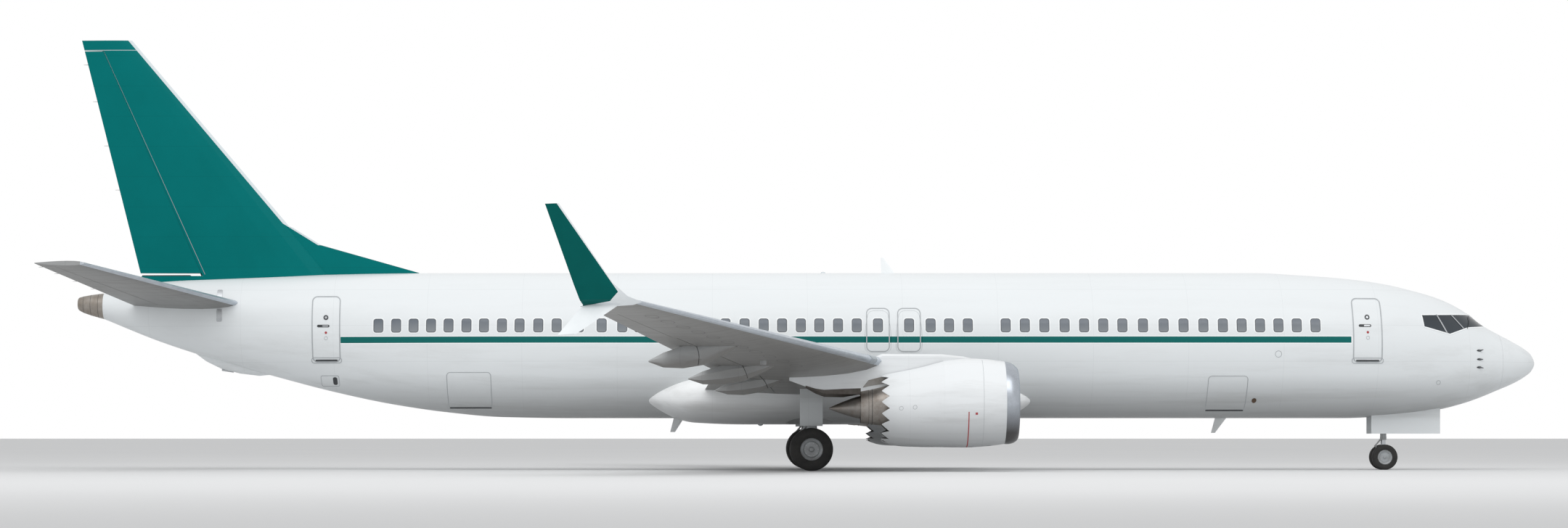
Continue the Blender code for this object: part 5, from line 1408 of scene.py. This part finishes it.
# Grey enamel on aluminium sheet: the wing's satin grey, with a little more painted shade beneath
TAIL_ENAMEL = wing_enamel("grey_tail_enamel", "aeb0b1", "7c7c7b", "d3d9e0", TAIL_EDGE, 0.34)
plates = []
for side, tag in SIDES:
    dress(TAIL_ENAMEL, f"stabiliser_{tag}", f"elevator_{tag}")
    for low, high in ((3.22, 3.46), (2.60, 2.94)):
        plates.append(patch(rounded((35.51, 35.65, low, high), 0.02), side, 0.010))
    wicks = []
    for u in (3.2, 4.4, 5.6, 6.6):
        above, below = (wing_point(u, 1.0, side, upper, 0.0, STABILISER) for upper in (True, False))
        foot = (above + below) / 2
        wicks.append(bar(foot + WICK_OUT, foot + Vector((-0.12, 0, -0.004)), WICK_ROOT_R, WICK_TIP_R, 8))
    make(f"elevator_wicks_{tag}", wicks, WICK_BLACK, f"elevator_{tag}")
make("stabiliser_seal_plates", plates, STEEL, "airframe")

# Tail cone: three titanium rings and a rolled lip round the exhaust of the auxiliary power unit,
# riveted together and brown with heat, hollow inside
TAIL_CONE = (
    (38.8103, 0.352, -3.04),
    (39.20, 0.27, -3.07),
    (39.42, 0.205, -3.09),
    (39.50, 0.165, -3.10),
    (39.52, 0.135, -3.10),
)
TAIL_PIPE = ((39.15, 0.12, -3.07), (39.515, 0.125, -3.10))
SEAM_PROFILE = ((-0.003, -0.004), (-0.003, 0.004), (0.003, 0.002), (0.003, -0.006))
# Titanium sheet, browned by the exhaust: a bare warm grey, cloudy, with a broad shine
TAIL_METAL = worn_metal("heat_browned_titanium", "aaa49d", "7f7265", 0.4, 40.0, 1.0, 0.6)
outer, inner = curve_rows(TAIL_CONE, 48), curve_rows(TAIL_PIPE, 8)
cone_skin = turned(outer + list(reversed(inner)), 0.0, False, 72)
cone = make("tail_cone_skin", [cone_skin], TAIL_METAL, "airframe")
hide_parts("tail_cone")
cone_seams = []
for s in (38.95, 39.16, 39.36):
    r, drop = read_off(TAIL_CONE, [s])[0, 1:]
    cone_seams.append(turned([(s + ds, r + dr, drop) for ds, dr in SEAM_PROFILE], 0.0, True, 72))
make("tail_cone_seams", cone_seams, BLACK_RUBBER_AND_PAINTED_SHADE, "airframe")

# Wheels and tyres: forged aluminium wheels in two halves, bolted through, with ribbed bias-ply
# tyres whose grooves are worn but open. A set's columns are its name and body, the axle's
# station, side place and height, the offset of each wheel, and the tyre's half width, rim
# radius and axle radius. Sections are shares of the half width and of the rim or the wall
NOSE_S, NOSE_R = 4.09, 0.343
MAIN_S, MAIN_Y, MAIN_R = 19.69, 2.86, 0.565
WHEEL_SETS = (
    ("nose", "nose_wheels", NOSE_S, 0.0, NOSE_R, 0.20, 0.099, 0.19, 0.045),
    ("main_left", "main_left_wheels", MAIN_S, MAIN_Y, MAIN_R, 0.43, 0.20, 0.28, 0.075),
    ("main_right", "main_right_wheels", MAIN_S, -MAIN_Y, MAIN_R, 0.43, 0.20, 0.28, 0.075),
)
TYRE_WALL = (
    (0.80, 0.01),
    (0.92, 0.18),
    (0.985, 0.40),
    (1.0, 0.58),
    (0.97, 0.76),
    (0.90, 0.90),
    (0.80, 0.975),
    (0.70, 0.995),
)
GROOVE = ((0.045, 0.0), (0.035, 0.010), (-0.035, 0.010), (-0.045, 0.0))
WHEEL_FACE = (
    (0.66, 0.0),
    (0.66, 0.13),
    (0.60, 0.20),
    (0.42, 0.26),
    (0.36, 0.48),
    (0.40, 0.70),
    (0.62, 0.80),
    (0.72, 0.95),
    (0.84, 1.05),
    (0.80, 1.06),
)
WHEEL_BACK = ((-0.80, 1.06), (-0.84, 1.05), (-0.72, 0.92), (-0.50, 0.80), (-0.46, 0.30))
WHEEL_BOLTS, BOLT_CIRCLE = 10, 0.62
# Rubber filled with carbon black, moulded: dull, nearly black, with greyer scuffs on the tread
TYRE_RUBBER = worn_metal("carbon_black_tyre_rubber", "242424", "3b3936", 0.72, 120.0, 0.0, 0.6)
# Grey paint on forged aluminium: a soft grey sheen, darkened by brake dust in clouds
WHEEL_PAINT = worn_metal("grey_forged_wheel", "a9adb0", "6f6d6a", 0.4, 80.0, 0.2, 0.6)


def spun(rows, centre, closed=False):
    """A body turned about an axle that runs across, from rows of offset and radius."""
    turn = [2 * math.pi * k / 96 for k in range(96)]
    rings = []
    for offset, r in rows:
        rings.append([centre + Vector((r * math.sin(a), offset, r * math.cos(a))) for a in turn])
    return skin_of(rings, closed)


def tyre_rows(r, half, rim):
    """Half the section from the bead over the bulged wall to the tread and its two grooves."""
    rows = [(x * half, rim + q * (r - rim)) for x, q in TYRE_WALL]
    for middle in (0.52, 0.18):
        rows += [((middle + x) * half, r - depth) for x, depth in GROOVE]
    return rows + [(-x, q) for x, q in reversed(rows)]


for tag, body, s, y, r, spacing, half, rim, axle_r in WHEEL_SETS:
    centre = at(s, y, r - KEEL_Z)
    for where, offset in (("outer", spacing), ("inner", -spacing)):
        middle = centre + Vector((0, offset, 0))
        tread = spun(tyre_rows(r, half, rim), middle, closed=True)
        tyre = make(f"{tag}_tyre_{where}_ribbed", [tread], TYRE_RUBBER, body)
        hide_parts(f"{tag}_tyre_{where}")
    parts, bolts = [], []
    for sign in (1, -1):
        rows = [(x * half, max(q * rim, 0.001)) for x, q in WHEEL_FACE]
        rows += [(0.70 * half, rim - 0.002), (-0.70 * half, rim - 0.002)]
        rows += [(x * half, q * rim) for x, q in WHEEL_BACK] + [(-0.46 * half, axle_r * 0.95)]
        middle = centre + Vector((0, sign * spacing, 0))
        parts.append(spun([(sign * x, q) for x, q in rows], middle))
        for k in range(WHEEL_BOLTS):
            a = 2 * math.pi * (k + 0.5) / WHEEL_BOLTS
            ring_r = BOLT_CIRCLE * rim
            spot = middle + Vector((ring_r * math.sin(a), sign * 0.34 * half, ring_r * math.cos(a)))
            head = spot + Vector((0, sign * 0.07 * half + 0.012 * sign, 0))
            bolts.append(bar(spot, head, 0.045 * rim, 0.04 * rim, 6))
    reach = Vector((0, spacing - 0.45 * half, 0))
    parts.append(bar(centre - reach, centre + reach, axle_r * 0.985, steps=48))
    wheels = make(f"{tag}_wheels_forged", parts, WHEEL_PAINT, body)
    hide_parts(f"{tag}_wheels")
    make(f"{tag}_wheel_bolts", bolts, STEEL, body)

# Landing gear legs: forged steel in light grey enamel with chromed pistons, torque links that keep
# the wheels in line, hydraulic pipes clipped down the legs, a taxi lamp on the nose leg, and
# sheet metal doors hinged along the bays. Places on a leg are given from the middle of its axle
MAIN_LINKS = (Vector((-0.12, 0, 0.66)), Vector((-0.36, 0, 0.38)), Vector((-0.12, 0, 0.10)))
NOSE_LINKS = (Vector((-0.06, 0, 0.50)), Vector((-0.22, 0, 0.31)), Vector((-0.06, 0, 0.10)))
MAIN_PISTON_R, NOSE_PISTON_R, LAMP_H = 0.0925, 0.0675, 1.12
# Grey enamel on forged steel: a satin light grey with brown film in clouds
GEAR_ENAMEL = worn_metal("light_grey_gear_enamel", "b5b9bb", "77736c", 0.38, 70.0, 0.0, 0.7)
# Hard chrome, ground and polished: a mirror that shows the floor and the sky
CHROME = worn_metal("hard_chrome", "c9ccd0", "a5a9ad", 0.09, 30.0, 1.0, 0.3)
# Stainless tube, drawn: thin bright grey lines
PIPE_METAL = worn_metal("stainless_pipe", "8e9296", "5f6265", 0.3, 60.0)
for leg in ("nose_gear_leg", "nose_gear_steered_leg", "main_gear_leg_left", "main_gear_leg_right"):
    dress(GEAR_ENAMEL, leg)


def link(wide_end, narrow_end, wide, narrow, thick):
    """One torque link: a forked plate that tapers from its wide hinge to its apex."""
    along = (narrow_end - wide_end).normalized()
    across = Vector((0, 1, 0))
    flat = along.cross(across).normalized()
    rings = []
    waist = wide_end.lerp(narrow_end, 0.5)
    for spot, half in ((wide_end, wide / 2), (waist, (wide + narrow) / 3.6), (narrow_end, narrow / 2)):
        corners = ((-1, -1), (1, -1), (1, 1), (-1, 1))
        rings.append([spot + across * a * half + flat * b * thick / 2 for a, b in corners])
    return skin_of(rings)


def pipe(points, r, steps=10):
    """A bent pipe along a smooth line through a few points."""
    spots = [Vector(p) for p in points]
    fine = []
    for k in range(len(spots) - 1):
        p0, p1 = spots[max(k - 1, 0)], spots[k]
        p2, p3 = spots[k + 1], spots[min(k + 2, len(spots) - 1)]
        square, cube = 2 * p0 - 5 * p1 + 4 * p2 - p3, 3 * p1 - p0 - 3 * p2 + p3
        for j in range(8):
            q = j / 8
            fine.append(0.5 * (2 * p1 + (p2 - p0) * q + square * q**2 + cube * q**3))
    fine.append(spots[-1])
    rings = []
    across = Vector((0, 1, 0))
    for k, spot in enumerate(fine):
        along = (fine[min(k + 1, len(fine) - 1)] - fine[max(k - 1, 0)]).normalized()
        across = (across - along * across.dot(along)).normalized()
        other = along.cross(across)
        turn = [2 * math.pi * j / steps for j in range(steps)]
        rings.append([spot + r * (across * math.cos(a) + other * math.sin(a)) for a in turn])
    return skin_of(rings)


for side, tag in SIDES:
    axle = at(MAIN_S, side * MAIN_Y, MAIN_R - KEEL_Z)
    piston = bar(axle + Vector((0, 0, 0.16)), axle + Vector((0, 0, 0.552)), MAIN_PISTON_R, steps=48)
    make(f"main_piston_{tag}_chromed", [piston], CHROME, "airframe")
    upper, apex, lower = (axle + spot for spot in MAIN_LINKS)
    links = [link(upper, apex, 0.20, 0.07, 0.045), link(lower, apex, 0.20, 0.07, 0.045)]
    for hinge, half, r in ((apex, 0.06, 0.03), (upper, 0.12, 0.035)):
        links.append(bar(hinge - Vector((0, half, 0)), hinge + Vector((0, half, 0)), r, steps=16))
    links.append(bar(axle + Vector((0, 0, 0.545)), axle + Vector((0, 0, 0.60)), 0.145, 0.140, 40))
    make(f"main_torque_links_{tag}", links, GEAR_ENAMEL, "airframe")
    pipes = []
    for y in (-0.05, 0.05):
        run = ((0.10, y, 1.05), (0.142, y, 0.95), (0.142, y, 0.62), (0.16, y, 0.40), (0.10, y * 1.6, 0.16))
        pipes.append(pipe([axle + Vector(p) for p in run], 0.010))
    make(f"main_brake_pipes_{tag}", pipes, PIPE_METAL, "airframe")
axle = at(NOSE_S, 0, NOSE_R - KEEL_Z)
upper, apex, lower = (axle + spot for spot in NOSE_LINKS)
links = [
    link(upper, apex, 0.13, 0.05, 0.03),
    link(lower, apex, 0.13, 0.05, 0.03),
    bar(apex - Vector((0, 0.045, 0)), apex + Vector((0, 0.045, 0)), 0.022, steps=16),
    bar(axle + Vector((0, 0, 0.47)), axle + Vector((0, 0, 0.572)), 0.088, steps=40),
]
make("nose_torque_links", links, GEAR_ENAMEL, "nose_steered")
piston = bar(axle + Vector((0, 0, 0.17)), axle + Vector((0, 0, 0.468)), NOSE_PISTON_R, steps=48)
make("nose_piston_chromed", [piston], CHROME, "nose_steered")
lamp = Vector((axle.x + 0.085, 0, LAMP_H))
shell = bar(lamp - Vector((0.02, 0, 0)), lamp + Vector((0.06, 0, 0)), 0.045, 0.078, 32)
make("taxi_lamp_housing", [shell], GEAR_ENAMEL, "airframe")
lens = bar(lamp + Vector((0.058, 0, 0)), lamp + Vector((0.068, 0, 0)), 0.072, 0.060, 32)
make("taxi_lamp_lens", [lens], LAMP_GLASS, "airframe")
pipes = []
for y in (-0.03, 0.03):
    run = ((axle.x - 0.092, y, 2.1), (axle.x - 0.094, y, 1.6), (axle.x - 0.094, y, 1.0))
    pipes.append(pipe(run, 0.008))
make("nose_leg_pipes", pipes, PIPE_METAL, "airframe")
# White enamel on sheet: the body's white with none of its grey of dirt and painted shade low down, a little
# duller
GEAR_DOOR_ENAMEL = sprayed_enamel("white_gear_door_enamel", "dfe3e5", "8f8c86", 0.32, dirt_and_shade=(2.0, 1.0, 0.0))
for door in ("nose_gear_door_left", "nose_gear_door_right", "main_gear_door_left", "main_gear_door_right"):
    dress(GEAR_DOOR_ENAMEL, door)

# Brings the scene's evaluated state up to date
bpy.context.view_layer.update()
